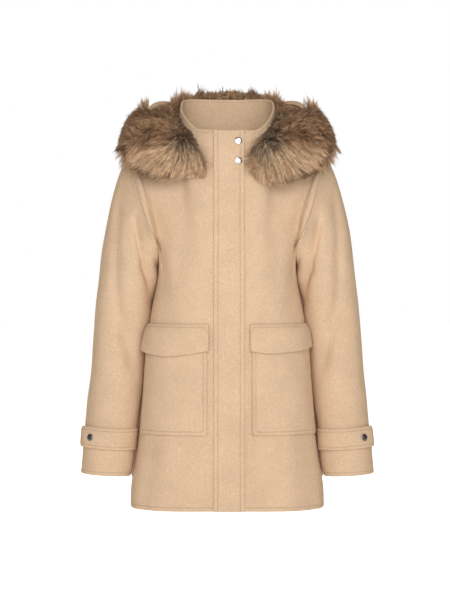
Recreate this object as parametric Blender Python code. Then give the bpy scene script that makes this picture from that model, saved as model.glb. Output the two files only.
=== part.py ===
"""Hooded winter parka in thick wool cloth, filled out as if worn, with no wearer inside.

Metres, +Z up. The front faces -Y and +X is the wearer's left. The origin is level
with the sides of the neck, midway between them, where the shoulders carry the coat.
"""

import math

import bmesh
import bpy
import numpy as np
from mathutils import Vector
from mathutils.bvhtree import BVHTree

# ---- Driving sizes, in metres -------------------------------------------------------

SEAM_GAP = 0.0003  # between two pieces that are sewn together
LAY_GAP = 0.0006  # under a piece that lies on another
CLOTH = 0.0026  # one layer of coating
DOUBLE = 0.0036  # two layers stitched together: collar, pockets, straps

HEM_Z = -0.686
CHEST_Z = -0.276  # the highest level ring, a little below the armholes
CUFF_Z = -0.632
BICEP_Z = -0.262  # sleeve ring where the cap starts
FRONT_CENTRE = 0.004  # the fronts meet this far to the wearer's left

NECK_HALF_WIDTH = 0.086
NECK_MIDDLE_Y = -0.012
NECK_FRONT = dict(depth=0.094, drop=0.057)
NECK_BACK = dict(depth=0.078, drop=-0.012)
RIM_HALF_WIDTH = 0.0895
RIM_MIDDLE_Y = -0.018
RIM_HALF_DEPTH = 0.082
RIM_FRONT_Z = 0.012
RIM_BACK_Z = 0.088

PLACKET_RIGHT_X = -0.0250
PLACKET_LEFT_X = 0.0315
POCKET_IN, POCKET_OUT = 0.0410, 0.1910  # arc from the front centre
POCKET_TOP_Z, POCKET_BOTTOM_Z = -0.372, -0.5480
FLAP_TOP_Z, FLAP_CORNER_Z, FLAP_POINT_Z = -0.3440, -0.3940, -0.4060
STRAP_TOP_Z, STRAP_DEPTH, STRAP_FALL = -0.5360, 0.0395, 0.0050
STRAP_END_TURN, STRAP_SEAM_TURN = 16.0, 234.0  # degrees round the sleeve
STUD_RADIUS, STUD_HEIGHT = 0.0066, 0.0026
STUD_X = 0.0205
STUD_HEIGHTS = dict(stud_upper=-0.0085, stud_lower=-0.0465)
STRAP_STUD_TURN = 50.0

# Horizontal sections of the body, hem first: half width, depth before and behind.
BODY_SECTIONS = [
    dict(z=-0.686, half_width=0.1824, front=0.132, back=0.126, square=3.6),
    dict(z=-0.640, half_width=0.1820, front=0.131, back=0.124, square=3.4),
    dict(z=-0.600, half_width=0.1722, front=0.130, back=0.122, square=3.2),
    dict(z=-0.550, half_width=0.1662, front=0.129, back=0.118, square=3.0),
    dict(z=-0.500, half_width=0.1608, front=0.127, back=0.114, square=2.9),
    dict(z=-0.410, half_width=0.1530, front=0.124, back=0.107, square=2.8),
    dict(z=-0.340, half_width=0.1475, front=0.122, back=0.103, square=2.8),
    dict(z=-0.290, half_width=0.1372, front=0.124, back=0.104, square=2.7),
    dict(z=-0.245, half_width=0.1285, front=0.127, back=0.108, square=2.6),
]
LOWER_ROWS = 10
UPPER_ROWS = 9

# Arc distances of the front's columns from its centre edge. Pocket edges are among them.
FRONT_NECK_ARCS = [0.0, 0.0205, 0.0410, 0.0620, 0.0830]
FRONT_SHOULDER_ARCS = [0.1040, 0.1250, 0.1450]
FRONT_FIXED_ARMHOLE_ARCS = [0.1525, 0.1602, 0.1679, 0.1756, 0.1833, 0.1910]
BACK_NECK_ARCS = [0.0, 0.0230, 0.0460, 0.0690]
BACK_SHOULDER_ARCS = [0.0910, 0.1130, 0.1350]
ARMHOLE_STEPS = 10
LEAN_FRONT, LEAN_BACK = 0.55, 0.45  # how far columns under the armhole lean inwards
FRONT_FIXED_COLUMNS = 14  # of the front, whose arcs are listed above

SIDE_NECK = (0.086, -0.012, 0.000)
SHOULDER_TIP = (0.187, 0.000, -0.021)
ARMHOLE_FRONT = [
    dict(at=0.00, x=0.187, y=0.000, z=-0.021),
    dict(at=0.07, x=0.186, y=-0.016, z=-0.025),
    dict(at=0.15, x=0.182, y=-0.032, z=-0.040),
    dict(at=0.30, x=0.172, y=-0.055, z=-0.078),
    dict(at=0.45, x=0.164, y=-0.071, z=-0.112),
    dict(at=0.60, x=0.151, y=-0.081, z=-0.149),
    dict(at=0.74, x=0.136, y=-0.085, z=-0.181),
    dict(at=0.86, x=0.125, y=-0.066, z=-0.208),
    dict(at=0.94, x=0.125, y=-0.034, z=-0.226),
    dict(at=1.00, x=0.127, y=0.000, z=-0.235),
]
ARMHOLE_BACK = [
    dict(at=0.00, x=0.187, y=0.000, z=-0.021),
    dict(at=0.07, x=0.186, y=0.016, z=-0.025),
    dict(at=0.15, x=0.181, y=0.032, z=-0.040),
    dict(at=0.30, x=0.170, y=0.055, z=-0.078),
    dict(at=0.45, x=0.161, y=0.070, z=-0.112),
    dict(at=0.60, x=0.151, y=0.079, z=-0.149),
    dict(at=0.74, x=0.142, y=0.078, z=-0.181),
    dict(at=0.86, x=0.131, y=0.061, z=-0.208),
    dict(at=0.94, x=0.127, y=0.032, z=-0.226),
    dict(at=1.00, x=0.127, y=0.000, z=-0.235),
]
# The way a column of the body leaves its top edge, on the wearer's left side.
FRONT_LEAVING = [
    dict(at=0.00, x=0.00, y=0.15, z=1.00),
    dict(at=1.00, x=0.05, y=0.95, z=0.40),
    dict(at=2.00, x=0.15, y=0.95, z=0.30),
    dict(at=2.30, x=0.60, y=0.55, z=0.60),
    dict(at=2.60, x=0.65, y=0.20, z=0.70),
    dict(at=2.80, x=0.45, y=0.15, z=0.85),
    dict(at=3.00, x=0.05, y=0.00, z=1.00),
]
BACK_LEAVING = [
    dict(at=0.00, x=0.00, y=-0.60, z=0.80),
    dict(at=1.00, x=0.05, y=-0.95, z=0.35),
    dict(at=2.00, x=0.15, y=-0.95, z=0.30),
    dict(at=2.45, x=0.15, y=-0.45, z=0.90),
    dict(at=2.74, x=0.05, y=-0.25, z=0.95),
    dict(at=3.00, x=0.05, y=0.00, z=1.00),
]
# The way a column of the sleeve runs into the armhole, from the shoulder to the underarm.
SLEEVE_ENTERING = [
    dict(at=0.00, x=-0.52, y=0.00, z=0.85),
    dict(at=0.15, x=-0.56, y=-0.10, z=0.82),
    dict(at=0.30, x=-0.60, y=-0.16, z=0.76),
    dict(at=0.60, x=-0.66, y=-0.20, z=0.70),
    dict(at=0.80, x=-0.66, y=-0.12, z=0.72),
    dict(at=1.00, x=-0.70, y=0.00, z=0.70),
]
# Sections of the sleeve, cuff first. lean turns the front of the section inwards and
# clear is the least distance to the body's side, wider where the strap goes between.
SLEEVE_SECTIONS = [
    dict(z=-0.632, x=0.2282, y=-0.020, half_width=0.0492, half_depth=0.051, lean=0,
         clear=0.0062),
    dict(z=-0.580, x=0.2212, y=-0.017, half_width=0.0523, half_depth=0.052, lean=0,
         clear=0.0062),
    dict(z=-0.530, x=0.2165, y=-0.010, half_width=0.0530, half_depth=0.054, lean=1,
         clear=0.0060),
    dict(z=-0.480, x=0.2115, y=-0.002, half_width=0.0535, half_depth=0.056, lean=2,
         clear=0.0030),
    dict(z=-0.410, x=0.2052, y=0.006, half_width=0.0535, half_depth=0.059, lean=4,
         clear=0.0016),
    dict(z=-0.360, x=0.2012, y=0.008, half_width=0.0540, half_depth=0.062, lean=6,
         clear=0.0016),
    dict(z=-0.310, x=0.1955, y=0.006, half_width=0.0550, half_depth=0.066, lean=9,
         clear=0.0016),
    dict(z=-0.262, x=0.1880, y=0.002, half_width=0.0570, half_depth=0.070, lean=12,
         clear=0.0016),
]
SLEEVE_ROWS = 10
CAP_ROWS = 7
SLEEVE_COLUMNS = 2 * ARMHOLE_STEPS
UNDER_SLEEVE_COLUMNS = (9, 13)  # its front seam and its back seam
SIDE_CLEARANCE = 0.0008  # between the sleeve and what is sewn on the body

# Soft troughs (negative) and ridges: a line in (arc round the piece, height), its
# half width and its depth. Sleeve arcs count from the outermost line to the front.
SLEEVE_FOLDS = [
    dict(a0=0.045, z0=-0.215, a1=0.062, z1=-0.345, spread=0.012, depth=-0.0045),
    dict(a0=0.060, z0=-0.330, a1=0.100, z1=-0.405, spread=0.011, depth=-0.0035),
    dict(a0=0.080, z0=-0.235, a1=0.094, z1=-0.320, spread=0.012, depth=0.0030),
    dict(a0=0.020, z0=-0.300, a1=0.034, z1=-0.420, spread=0.014, depth=0.0025),
    dict(a0=-0.060, z0=-0.230, a1=-0.070, z1=-0.330, spread=0.013, depth=-0.0040),
    dict(a0=-0.095, z0=-0.320, a1=-0.045, z1=-0.390, spread=0.012, depth=-0.0040),
]
FRONT_FOLDS = [
    dict(a0=0.155, z0=-0.200, a1=0.110, z1=-0.330, spread=0.016, depth=-0.0040),
    dict(a0=0.120, z0=-0.230, a1=0.085, z1=-0.340, spread=0.018, depth=0.0028),
    dict(a0=0.030, z0=-0.330, a1=0.034, z1=-0.686, spread=0.012, depth=-0.0030),
    dict(a0=0.150, z0=-0.570, a1=0.165, z1=-0.700, spread=0.020, depth=-0.0045),
    dict(a0=0.100, z0=-0.560, a1=0.105, z1=-0.700, spread=0.024, depth=0.0035),
]
BACK_FOLDS = [
    dict(a0=0.150, z0=-0.190, a1=0.090, z1=-0.330, spread=0.017, depth=-0.0045),
    dict(a0=0.050, z0=-0.330, a1=0.062, z1=-0.700, spread=0.024, depth=0.0045),
    dict(a0=0.110, z0=-0.420, a1=0.130, z1=-0.700, spread=0.024, depth=-0.0050),
    dict(a0=0.000, z0=-0.400, a1=0.000, z1=-0.700, spread=0.024, depth=-0.0035),
]

# Sections of the hood laid back, by the turn round the neck from the front. Each
# point is a distance out from the neck seam and a height.
HOOD_SECTIONS = [
    dict(turn=34, under_r=0.006, under_z=-0.055, fold_r=0.008, fold_z=-0.062,
         belly_r=0.010, belly_z=-0.068, ridge_r=0.012, ridge_z=-0.074,
         mouth_r=0.014, mouth_z=-0.080),
    dict(turn=62, under_r=0.014, under_z=-0.034, fold_r=0.026, fold_z=-0.046,
         belly_r=0.036, belly_z=-0.054, ridge_r=0.043, ridge_z=-0.060,
         mouth_r=0.048, mouth_z=-0.066),
    dict(turn=90, under_r=0.024, under_z=-0.003, fold_r=0.042, fold_z=-0.006,
         belly_r=0.054, belly_z=-0.009, ridge_r=0.062, ridge_z=-0.010,
         mouth_r=0.068, mouth_z=-0.011),
    dict(turn=108, under_r=0.026, under_z=-0.004, fold_r=0.066, fold_z=-0.020,
         belly_r=0.092, belly_z=-0.012, ridge_r=0.097, ridge_z=0.006,
         mouth_r=0.092, mouth_z=0.012),
    dict(turn=118, under_r=0.028, under_z=-0.012, fold_r=0.072, fold_z=-0.048,
         belly_r=0.108, belly_z=-0.010, ridge_r=0.107, ridge_z=0.044,
         mouth_r=0.098, mouth_z=0.048),
    dict(turn=130, under_r=0.031, under_z=-0.026, fold_r=0.074, fold_z=-0.082,
         belly_r=0.117, belly_z=-0.012, ridge_r=0.110, ridge_z=0.078,
         mouth_r=0.099, mouth_z=0.077),
    dict(turn=143, under_r=0.036, under_z=-0.050, fold_r=0.070, fold_z=-0.115,
         belly_r=0.120, belly_z=-0.026, ridge_r=0.110, ridge_z=0.082,
         mouth_r=0.096, mouth_z=0.081),
    dict(turn=160, under_r=0.042, under_z=-0.072, fold_r=0.067, fold_z=-0.142,
         belly_r=0.118, belly_z=-0.046, ridge_r=0.107, ridge_z=0.064,
         mouth_r=0.090, mouth_z=0.066),
    dict(turn=180, under_r=0.044, under_z=-0.080, fold_r=0.066, fold_z=-0.152,
         belly_r=0.115, belly_z=-0.056, ridge_r=0.104, ridge_z=0.052,
         mouth_r=0.086, mouth_z=0.056),
]
HOOD_CLEARANCE = 0.0036  # from the middle of the hood's cloth to the coat
HOOD_POINTS = ("under", "fold", "belly", "ridge", "mouth")
HOOD_COLUMNS = 27  # round the neck
HOOD_ROWS = 15  # from the neck seam to the mouth

# The fur strip, from its end on the wearer's right round the back to its end on the
# left: centre, half size across the strip and through its pile, and the strip's
# outward direction.
FUR_RIGHT_END = [
    dict(x=-0.034, y=-0.122, z=-0.074, across=0.017, pile=0.012, ox=-0.05, oy=-0.2, oz=-1.0),
    dict(x=-0.064, y=-0.127, z=-0.052, across=0.034, pile=0.024, ox=-0.25, oy=-0.2, oz=-1.0),
]
FUR_LEFT_END = [
    dict(x=0.037, y=-0.125, z=-0.057, across=0.041, pile=0.019, ox=0.05, oy=-0.2, oz=-1.0),
    dict(x=0.070, y=-0.128, z=-0.050, across=0.047, pile=0.026, ox=0.25, oy=-0.2, oz=-1.0),
]
FUR_SIDE = [
    dict(x=0.111, y=-0.115, z=-0.031, across=0.054, pile=0.034, ox=0.60, oy=-0.25, oz=-0.8),
    dict(x=0.140, y=-0.082, z=-0.004, across=0.058, pile=0.043, ox=0.90, oy=-0.35, oz=-0.5),
    dict(x=0.150, y=-0.030, z=0.014, across=0.054, pile=0.052, ox=1.00, oy=-0.10, oz=-0.2),
    dict(x=0.139, y=0.024, z=0.028, across=0.041, pile=0.045, ox=1.00, oy=0.30, oz=-0.1),
    dict(x=0.105, y=0.070, z=0.041, across=0.028, pile=0.038, ox=0.75, oy=0.75, oz=0.0),
    dict(x=0.062, y=0.107, z=0.060, across=0.031, pile=0.038, ox=0.40, oy=0.95, oz=0.0),
]
FUR_BACK = dict(x=0.0, y=0.121, z=0.070, across=0.035, pile=0.039, ox=0.0, oy=1.0, oz=0.0)
FUR_STEPS = 50
FUR_SIDES = 16
FUR_LOCK_HEIGHT = 0.0030
FUR_CLEARANCE = 0.0050
STUD_GAP = 0.0008

CAMEL = (0.72, 0.50, 0.31, 1.0)
FUR_BROWN = (0.25, 0.15, 0.09, 1.0)
NICKEL = (0.75, 0.76, 0.78, 1.0)


# ---- Curves and sections ------------------------------------------------------------


def hermite(start, end, leave, arrive, t):
    """The cubic from start to end that leaves and arrives with these tangents."""
    t2, t3 = t * t, t * t * t
    return (
        (2 * t3 - 3 * t2 + 1) * start
        + (t3 - 2 * t2 + t) * leave
        + (3 * t2 - 2 * t3) * end
        + (t3 - t2) * arrive
    )


def column_of(rows, key, column):
    """A smooth function through one named column of a table, over another."""
    keys = np.array([row[key] for row in rows], float)
    values = np.array([row[column] for row in rows], float)
    slopes = np.gradient(values, keys)

    def value(at):
        at = np.clip(np.asarray(at, float), keys[0], keys[-1])
        i = np.clip(np.searchsorted(keys, at) - 1, 0, len(keys) - 2)
        step = keys[i + 1] - keys[i]
        t = (at - keys[i]) / step
        return hermite(values[i], values[i + 1], slopes[i] * step, slopes[i + 1] * step, t)

    return value


def point_of(rows, key, names="xyz"):
    """A smooth function through a table's points, over its key column."""
    parts = [column_of(rows, key, name) for name in names]
    return lambda at: np.stack([part(at) for part in parts], axis=-1)


def smoothstep(low, high, value):
    t = np.clip((value - low) / (high - low), 0.0, 1.0)
    return t * t * (3 - 2 * t)


def unit(vectors):
    return vectors / np.maximum(np.linalg.norm(vectors, axis=-1, keepdims=True), 1e-12)


def fold_height(folds, arc, z):
    """How far the cloth stands out (or in, if negative) at a place, from its folds."""
    height = np.zeros(np.broadcast(arc, z).shape)
    for fold in folds:
        along = np.array([fold["a1"] - fold["a0"], fold["z1"] - fold["z0"]])
        length2 = along @ along
        t = ((arc - fold["a0"]) * along[0] + (z - fold["z0"]) * along[1]) / length2
        t_in = np.clip(t, 0.0, 1.0)
        away = np.hypot(
            arc - fold["a0"] - t_in * along[0], z - fold["z0"] - t_in * along[1]
        )
        height += fold["depth"] * np.exp(-((away / fold["spread"]) ** 2))
    return height


def grid_normals(points, toward, closed=False):
    """Unit normals of a grid of points, on the side that toward(points) gives."""
    down = np.gradient(points, axis=0)
    if closed:
        across = (np.roll(points, -1, axis=1) - np.roll(points, 1, axis=1)) / 2
    else:
        across = np.gradient(points, axis=1)
    normals = unit(np.cross(down, across))
    flip = np.sign((normals * toward(points)).sum(-1, keepdims=True))
    return normals * np.where(flip == 0, 1, flip)


def outward(points):
    """Roughly outwards from the body's upright middle line."""
    away = points.copy()
    away[..., 2] = np.maximum(points[..., 2] + 0.08, 0) * 2
    return away


# ---- Solids -------------------------------------------------------------------------


def new_object(name, vertices, faces, material):
    mesh = bpy.data.meshes.new(name)
    mesh.from_pydata([tuple(map(float, v)) for v in vertices], [], faces)
    shape = bmesh.new()
    shape.from_mesh(mesh)
    bmesh.ops.recalc_face_normals(shape, faces=shape.faces)
    shape.to_mesh(mesh)
    shape.free()
    mesh.shade_smooth()
    mesh.set_sharp_from_angle(angle=math.radians(40))
    mesh.materials.append(material)
    obj = bpy.data.objects.new(name, mesh)
    bpy.context.scene.collection.objects.link(obj)
    return obj


def grid_faces(rows, columns, start, closed):
    """Triangles of a grid whose points are numbered row by row from start."""
    faces = []
    for r in range(rows - 1):
        for c in range(columns if closed else columns - 1):
            a, b = start + r * columns + c, start + r * columns + (c + 1) % columns
            faces += [(a, b, b + columns), (a, b + columns, a + columns)]
    return faces


def wall(name, outer, inner, material):
    """A closed wall between two grids of points of the same size."""
    rows, columns = outer.shape[:2]
    count = rows * columns
    faces = grid_faces(rows, columns, 0, False)
    faces += [face[::-1] for face in grid_faces(rows, columns, count, False)]
    around = [(row * columns + c, row * columns + c + 1)
              for row in (0, rows - 1) for c in range(columns - 1)]
    around += [(r * columns + column, (r + 1) * columns + column)
               for column in (0, columns - 1) for r in range(rows - 1)]
    faces += [(a, b, b + count, a + count) for a, b in around]
    vertices = np.concatenate([outer.reshape(-1, 3), inner.reshape(-1, 3)])
    return new_object(name, vertices, faces, material)


def surface_tree(grids):
    """A search tree over the outer faces of several (points, closed) grids."""
    vertices, faces = [], []
    for points, closed in grids:
        start = len(vertices)
        vertices += [Vector(p) for p in points.reshape(-1, 3)]
        faces += grid_faces(*points.shape[:2], start, closed)
    return BVHTree.FromPolygons(vertices, faces)


def shortfall(place, out, tree, clearance):
    """How far a place must move along out to stand clear of the surfaces below it."""
    reach = 0.20
    start = Vector(place) + Vector(out) * reach
    hit = tree.ray_cast(start, -Vector(out), reach + clearance)[3]
    return 0.0 if hit is None else max(0.0, reach + clearance - hit)


def stand_clear(points, out, tree, clearance, closed=False, hold_last_row=False, fine=2):
    """Moves a grid's points along out until it stands clear of the tree, tested at
    fine places along each side of each of its cells."""
    moved, out = points.copy(), unit(out)
    rows, columns = points.shape[:2]
    shares = [(u / fine, v / fine) for u in range(fine + 1) for v in range(fine + 1)]
    weights = [((1 - u) * (1 - v), (1 - u) * v, u * (1 - v), u * v) for u, v in shares]
    for _ in range(4):
        raised = np.zeros((rows, columns))
        for r, c in np.ndindex(rows - 1, columns if closed else columns - 1):
            right = (c + 1) % columns
            corners = [(r, c), (r, right), (r + 1, c), (r + 1, right)]
            for weight in weights:
                place = sum(w * moved[k] for w, k in zip(weight, corners))
                facing = unit(sum(w * out[k] for w, k in zip(weight, corners)))
                need = shortfall(place, facing, tree, clearance)
                for w, k in zip(weight, corners):
                    if w > 0 and need > raised[k]:
                        raised[k] = need
        if hold_last_row:
            raised[-1] = 0
        if raised.max() < 1e-5:
            break
        moved = moved + out * raised[..., None]
    return moved


# ---- Body ---------------------------------------------------------------------------


def body_ring(z, behind):
    """Arc lengths and points of half a body section, from side to side through x = 0."""
    row = {name: float(column_of(BODY_SECTIONS, "z", name)(z)) for name in
           ("half_width", "front", "back", "square")}
    depth = row["back"] if behind else row["front"]
    turn = np.linspace(0, math.pi / 2, 181)
    x = row["half_width"] * np.sin(turn) ** (2 / row["square"])
    y = depth * np.abs(np.cos(turn)) ** (2 / row["square"])
    y[-1] = 0.0
    arc = np.concatenate([[0], np.cumsum(np.hypot(np.diff(x), np.diff(y)))])
    x = np.concatenate([-x[:0:-1], x])
    y = np.concatenate([y[:0:-1], y]) * (1 if behind else -1)
    return np.concatenate([-arc[:0:-1], arc]), np.stack([x, y, np.full_like(x, z)], -1)


def on_ring(z, behind, arcs):
    """Points of a body section at signed arc lengths from x = 0."""
    known, points = body_ring(z, behind)
    return np.stack([np.interp(arcs, known, points[:, k]) for k in range(3)], -1)


def body_half_width_at(y, z):
    """The body's half width at a depth y and a height z."""
    row = {name: column_of(BODY_SECTIONS, "z", name)(z) for name in
           ("half_width", "front", "back", "square")}
    depth = np.where(y < 0, row["front"], row["back"])
    share = np.clip(np.abs(y) / depth, 0, 1) ** row["square"]
    return row["half_width"] * (1 - share) ** (1 / row["square"])


def neck_point(turn, sides):
    """The neck seam at a turn in degrees from the front, on the side given by its sign."""
    angle = np.radians(turn)
    ahead = np.cos(angle) > 0
    depth = np.where(ahead, NECK_FRONT["depth"], NECK_BACK["depth"])
    drop = np.where(ahead, NECK_FRONT["drop"], NECK_BACK["drop"])
    toward = np.abs(np.cos(angle))
    x = sides * NECK_HALF_WIDTH * np.abs(np.sin(angle)) ** 0.92
    y = NECK_MIDDLE_Y - np.sign(np.cos(angle)) * depth * toward**0.92
    return np.stack([x, y, -drop * toward**1.7], -1)


def rim_point(turn, sides):
    """The collar's top edge at a turn in degrees from the front."""
    angle = np.radians(turn)
    x = sides * RIM_HALF_WIDTH * np.abs(np.sin(angle)) ** 0.78
    y = RIM_MIDDLE_Y - np.sign(np.cos(angle)) * RIM_HALF_DEPTH * np.abs(np.cos(angle)) ** 0.78
    share = (y - RIM_MIDDLE_Y + RIM_HALF_DEPTH) / (2 * RIM_HALF_DEPTH)
    z = RIM_FRONT_Z + (RIM_BACK_Z - RIM_FRONT_Z) * (1 - (1 - share) ** 2)
    return np.stack([x, y, z], -1)


def panel_top(behind, neck_steps, shoulder_steps):
    """The top edge of half a panel on the wearer's left, and how its columns leave it.

    It runs from the centre along the neck, the shoulder seam and the armhole."""
    armhole = point_of(ARMHOLE_BACK if behind else ARMHOLE_FRONT, "at")
    leaving = point_of(BACK_LEAVING if behind else FRONT_LEAVING, "at")
    neck_turns = np.linspace(180 if behind else 0, 90, neck_steps + 1)
    neck = neck_point(neck_turns, 1.0)
    along = np.linspace(0, 1, shoulder_steps + 1)[1:, None]
    shoulder = np.array(SIDE_NECK) * (1 - along) + np.array(SHOULDER_TIP) * along
    at = np.linspace(0, 1, ARMHOLE_STEPS + 1)[1:]
    edge = np.concatenate([neck, shoulder, armhole(at)])
    stations = np.concatenate(
        [np.linspace(0, 1, neck_steps + 1), 1 + along[:, 0], 2 + at]
    )
    return edge, unit(leaving(stations))


def column_arcs(behind, length):
    """Arc lengths of a half panel's columns, from its centre edge to its side seam."""
    if behind:
        fixed = BACK_NECK_ARCS + BACK_SHOULDER_ARCS
    else:
        fixed = FRONT_NECK_ARCS + FRONT_SHOULDER_ARCS + FRONT_FIXED_ARMHOLE_ARCS
    total = ARMHOLE_STEPS + len(
        BACK_NECK_ARCS + BACK_SHOULDER_ARCS if behind else FRONT_NECK_ARCS + FRONT_SHOULDER_ARCS
    )
    rest = np.linspace(fixed[-1], length, total - len(fixed) + 1)[1:]
    return np.concatenate([fixed, rest])


def lower_heights():
    return np.linspace(HEM_Z, CHEST_Z, LOWER_ROWS + 1)


def half_panel(side, behind):
    """The outer points of half the body, from the hem row up, centre column first."""
    folds = BACK_FOLDS if behind else FRONT_FOLDS
    centre = 0.0 if behind else FRONT_CENTRE
    rows, arcs = [], None
    for z in lower_heights():
        length = body_ring(z, behind)[0][-1] - side * centre
        arcs = column_arcs(behind, length)
        rows.append(on_ring(z, behind, side * arcs + centre))
    rows = np.array(rows)
    top, leaving = panel_top(
        behind,
        len(BACK_NECK_ARCS if behind else FRONT_NECK_ARCS) - 1,
        len(BACK_SHOULDER_ARCS if behind else FRONT_SHOULDER_ARCS),
    )
    mirror = np.array([side, 1, 1])
    top, leaving = top * mirror, leaving * mirror
    if not behind:  # the neck's front point moves with the front edges
        shift = centre * (1 - np.clip(arcs / arcs[len(FRONT_NECK_ARCS) - 1], 0, 1))
        top[:, 0] += shift
    base = rows[-1]
    rise = unit(rows[-1] - rows[-2])
    reach = np.linalg.norm(top - base, axis=-1, keepdims=True)
    toward_centre = -unit(np.gradient(base, axis=0))
    lean = np.zeros((len(base), 1))
    lean[-1 - ARMHOLE_STEPS :, 0] = (LEAN_BACK if behind else LEAN_FRONT) * np.sin(
        np.linspace(0, math.pi, ARMHOLE_STEPS + 1)
    )
    start = (rise * 0.7 + toward_centre * lean) * reach
    steps = np.linspace(0, 1, UPPER_ROWS + 1)[1:]
    upper = [hermite(base, top, start, leaving * reach, t) for t in steps]
    points = np.concatenate([rows, upper])
    normals = grid_normals(points, outward)
    fade = np.ones(points.shape[:2])
    fade[:, -1] = 0
    fade[-1] = 0
    height = fold_height(folds, arcs[None, :], points[..., 2]) * fade
    return points + normals * height[..., None]


def seam_normals(points, side, behind):
    """Normals of half a panel, made the same as its neighbours' along each seam."""
    normals = grid_normals(points, outward)
    normals[:, -1, 1] = 0
    normals[:, 0, 0] = 0
    first = points.shape[1] - 1 - ARMHOLE_STEPS
    neck = len(BACK_NECK_ARCS if behind else FRONT_NECK_ARCS) - 1
    normals[-1, neck : first + 1] = np.array([side * 0.2, 0.0, 1.0])  # the shoulder seam
    return unit(normals)


def inset_edges(points, top_gap, first_gap, last_gap):
    """Draws the top row and the first and last columns in by these gaps."""
    moved = points.copy()
    moved[-1] -= unit(points[-1] - points[-2]) * top_gap
    moved[:, 0] += unit(points[:, 1] - points[:, 0]) * first_gap
    moved[:, -1] -= unit(points[:, -1] - points[:, -2]) * last_gap
    return moved


def round_armhole(front, back):
    """One value for each column of the sleeve, from the front's and the back's."""
    whole = np.concatenate([front, back[-2:0:-1]])
    whole[[0, ARMHOLE_STEPS]] = (front[[0, -1]] + back[[0, -1]]) / 2
    return whole


def fit_armhole(panels, sleeve, centre_line):
    """Mitres a sleeve and the panels it is sewn to, so that their walls meet without
    crossing. Returns the sleeve's normals; the panels' grids and normals are changed."""
    span = slice(-1 - ARMHOLE_STEPS, None)
    front, back = panels
    body = round_armhole(front["normals"][-1, span], back["normals"][-1, span])
    normals = grid_normals(sleeve, lambda p: p - centre_line, closed=True)
    along = unit(np.roll(sleeve[-1], -1, axis=0) - np.roll(sleeve[-1], 1, axis=0))
    mitre = body + normals[-1]
    mitre = unit(mitre - along * (mitre * along).sum(-1, keepdims=True))
    mitre[[0, ARMHOLE_STEPS], 1] = 0
    mitre = unit(mitre)
    apart = unit(np.cross(along, mitre))
    apart *= np.sign((apart * (sleeve[-2] - sleeve[-1])).sum(-1, keepdims=True))
    loop = sleeve[-1].copy()
    normals[-1] = mitre
    sleeve[-1] = loop + apart * SEAM_GAP / 2
    order = {
        "front": np.arange(ARMHOLE_STEPS + 1),
        "back": (SLEEVE_COLUMNS - np.arange(ARMHOLE_STEPS + 1)) % SLEEVE_COLUMNS,
    }
    for panel, columns in ((front, order["front"]), (back, order["back"])):
        panel["normals"][-1, span] = mitre[columns]
        panel["points"][-1, span] = (loop - apart * SEAM_GAP / 2)[columns]
    return normals


# ---- Sleeves ------------------------------------------------------------------------


def sleeve_ring(side, z, turns):
    """Outer points of the sleeve at a height, at turns in degrees from the outermost
    line towards the front, kept clear of the body."""
    row = {name: column_of(SLEEVE_SECTIONS, "z", name)(z) for name in
           ("x", "y", "half_width", "half_depth", "lean", "clear")}
    angle = np.radians(turns)
    across = row["half_width"] * np.cos(angle)
    deep = -row["half_depth"] * np.sin(angle)
    lean = np.radians(row["lean"])
    x = row["x"] + across * np.cos(lean) + deep * np.sin(lean)
    y = row["y"] + deep * np.cos(lean) - across * np.sin(lean)
    nearest = body_half_width_at(y, np.full_like(y, float(z))) + row["clear"]
    x = np.maximum(x, nearest)
    return np.stack([side * x, y, np.full_like(x, float(z))], -1)


def sleeve_arc(turns):
    """Distance round the sleeve from the outermost line, towards the front."""
    signed = np.where(turns > 180, turns - 360, turns)
    return np.radians(signed) * 0.055


def sleeve_turns():
    return np.arange(SLEEVE_COLUMNS) * 360 / SLEEVE_COLUMNS


def sleeve_heights():
    return np.linspace(CUFF_Z, BICEP_Z, SLEEVE_ROWS + 1)


def sleeve_grid(side, front, back, tree):
    """A whole sleeve's outer points, from the cuff row up to the armhole."""
    turns = sleeve_turns()
    rows = np.array([sleeve_ring(side, z, turns) for z in sleeve_heights()])
    span = slice(-1 - ARMHOLE_STEPS, None)
    top = round_armhole(front["points"][-1, span], back["points"][-1, span])
    at = np.linspace(0, 1, ARMHOLE_STEPS + 1)
    at = np.concatenate([at, at[-2:0:-1]])
    facing = np.where(np.arange(SLEEVE_COLUMNS) <= ARMHOLE_STEPS, 1, -1)
    entering = unit(point_of(SLEEVE_ENTERING, "at")(at))
    entering *= np.stack([np.full(len(at), side), facing, np.ones(len(at))], -1)
    base = rows[-1]
    rise = unit(rows[-1] - rows[-2])
    reach = np.linalg.norm(top - base, axis=-1, keepdims=True)
    steps = np.linspace(0, 1, CAP_ROWS + 1)[1:]
    cap = [hermite(base, top, rise * reach, entering * reach * 0.9, t) for t in steps]
    points = np.concatenate([rows, cap])
    middle = points.mean(axis=1, keepdims=True)
    normals = grid_normals(points, lambda p: p - middle, closed=True)
    height = fold_height(SLEEVE_FOLDS, sleeve_arc(turns)[None, :], points[..., 2])
    height[-1] = 0
    points = points + normals * height[..., None]
    inner = slice(ARMHOLE_STEPS - 5, ARMHOLE_STEPS + 6)
    sideways = np.broadcast_to([float(side), 0.0, 0.0], points[:, inner].shape)
    points[:, inner] = stand_clear(
        points[:, inner], sideways, tree, SIDE_CLEARANCE, hold_last_row=True
    )
    return points, middle


def build_sleeve(name, points, normals, material):
    """The top sleeve and the under sleeve, sewn along their two long edges."""
    first, last = UNDER_SLEEVE_COLUMNS
    under = np.arange(first, last + 1)
    over = np.arange(last, first + SLEEVE_COLUMNS + 1) % SLEEVE_COLUMNS
    for part, columns in (("under", under), ("top", over)):
        cut = inset_edges(points[:, columns], 0.0, SEAM_GAP / 2, SEAM_GAP / 2)
        wall(f"sleeve_{part}_{name}", cut, cut - normals[:, columns] * CLOTH, material)


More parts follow.
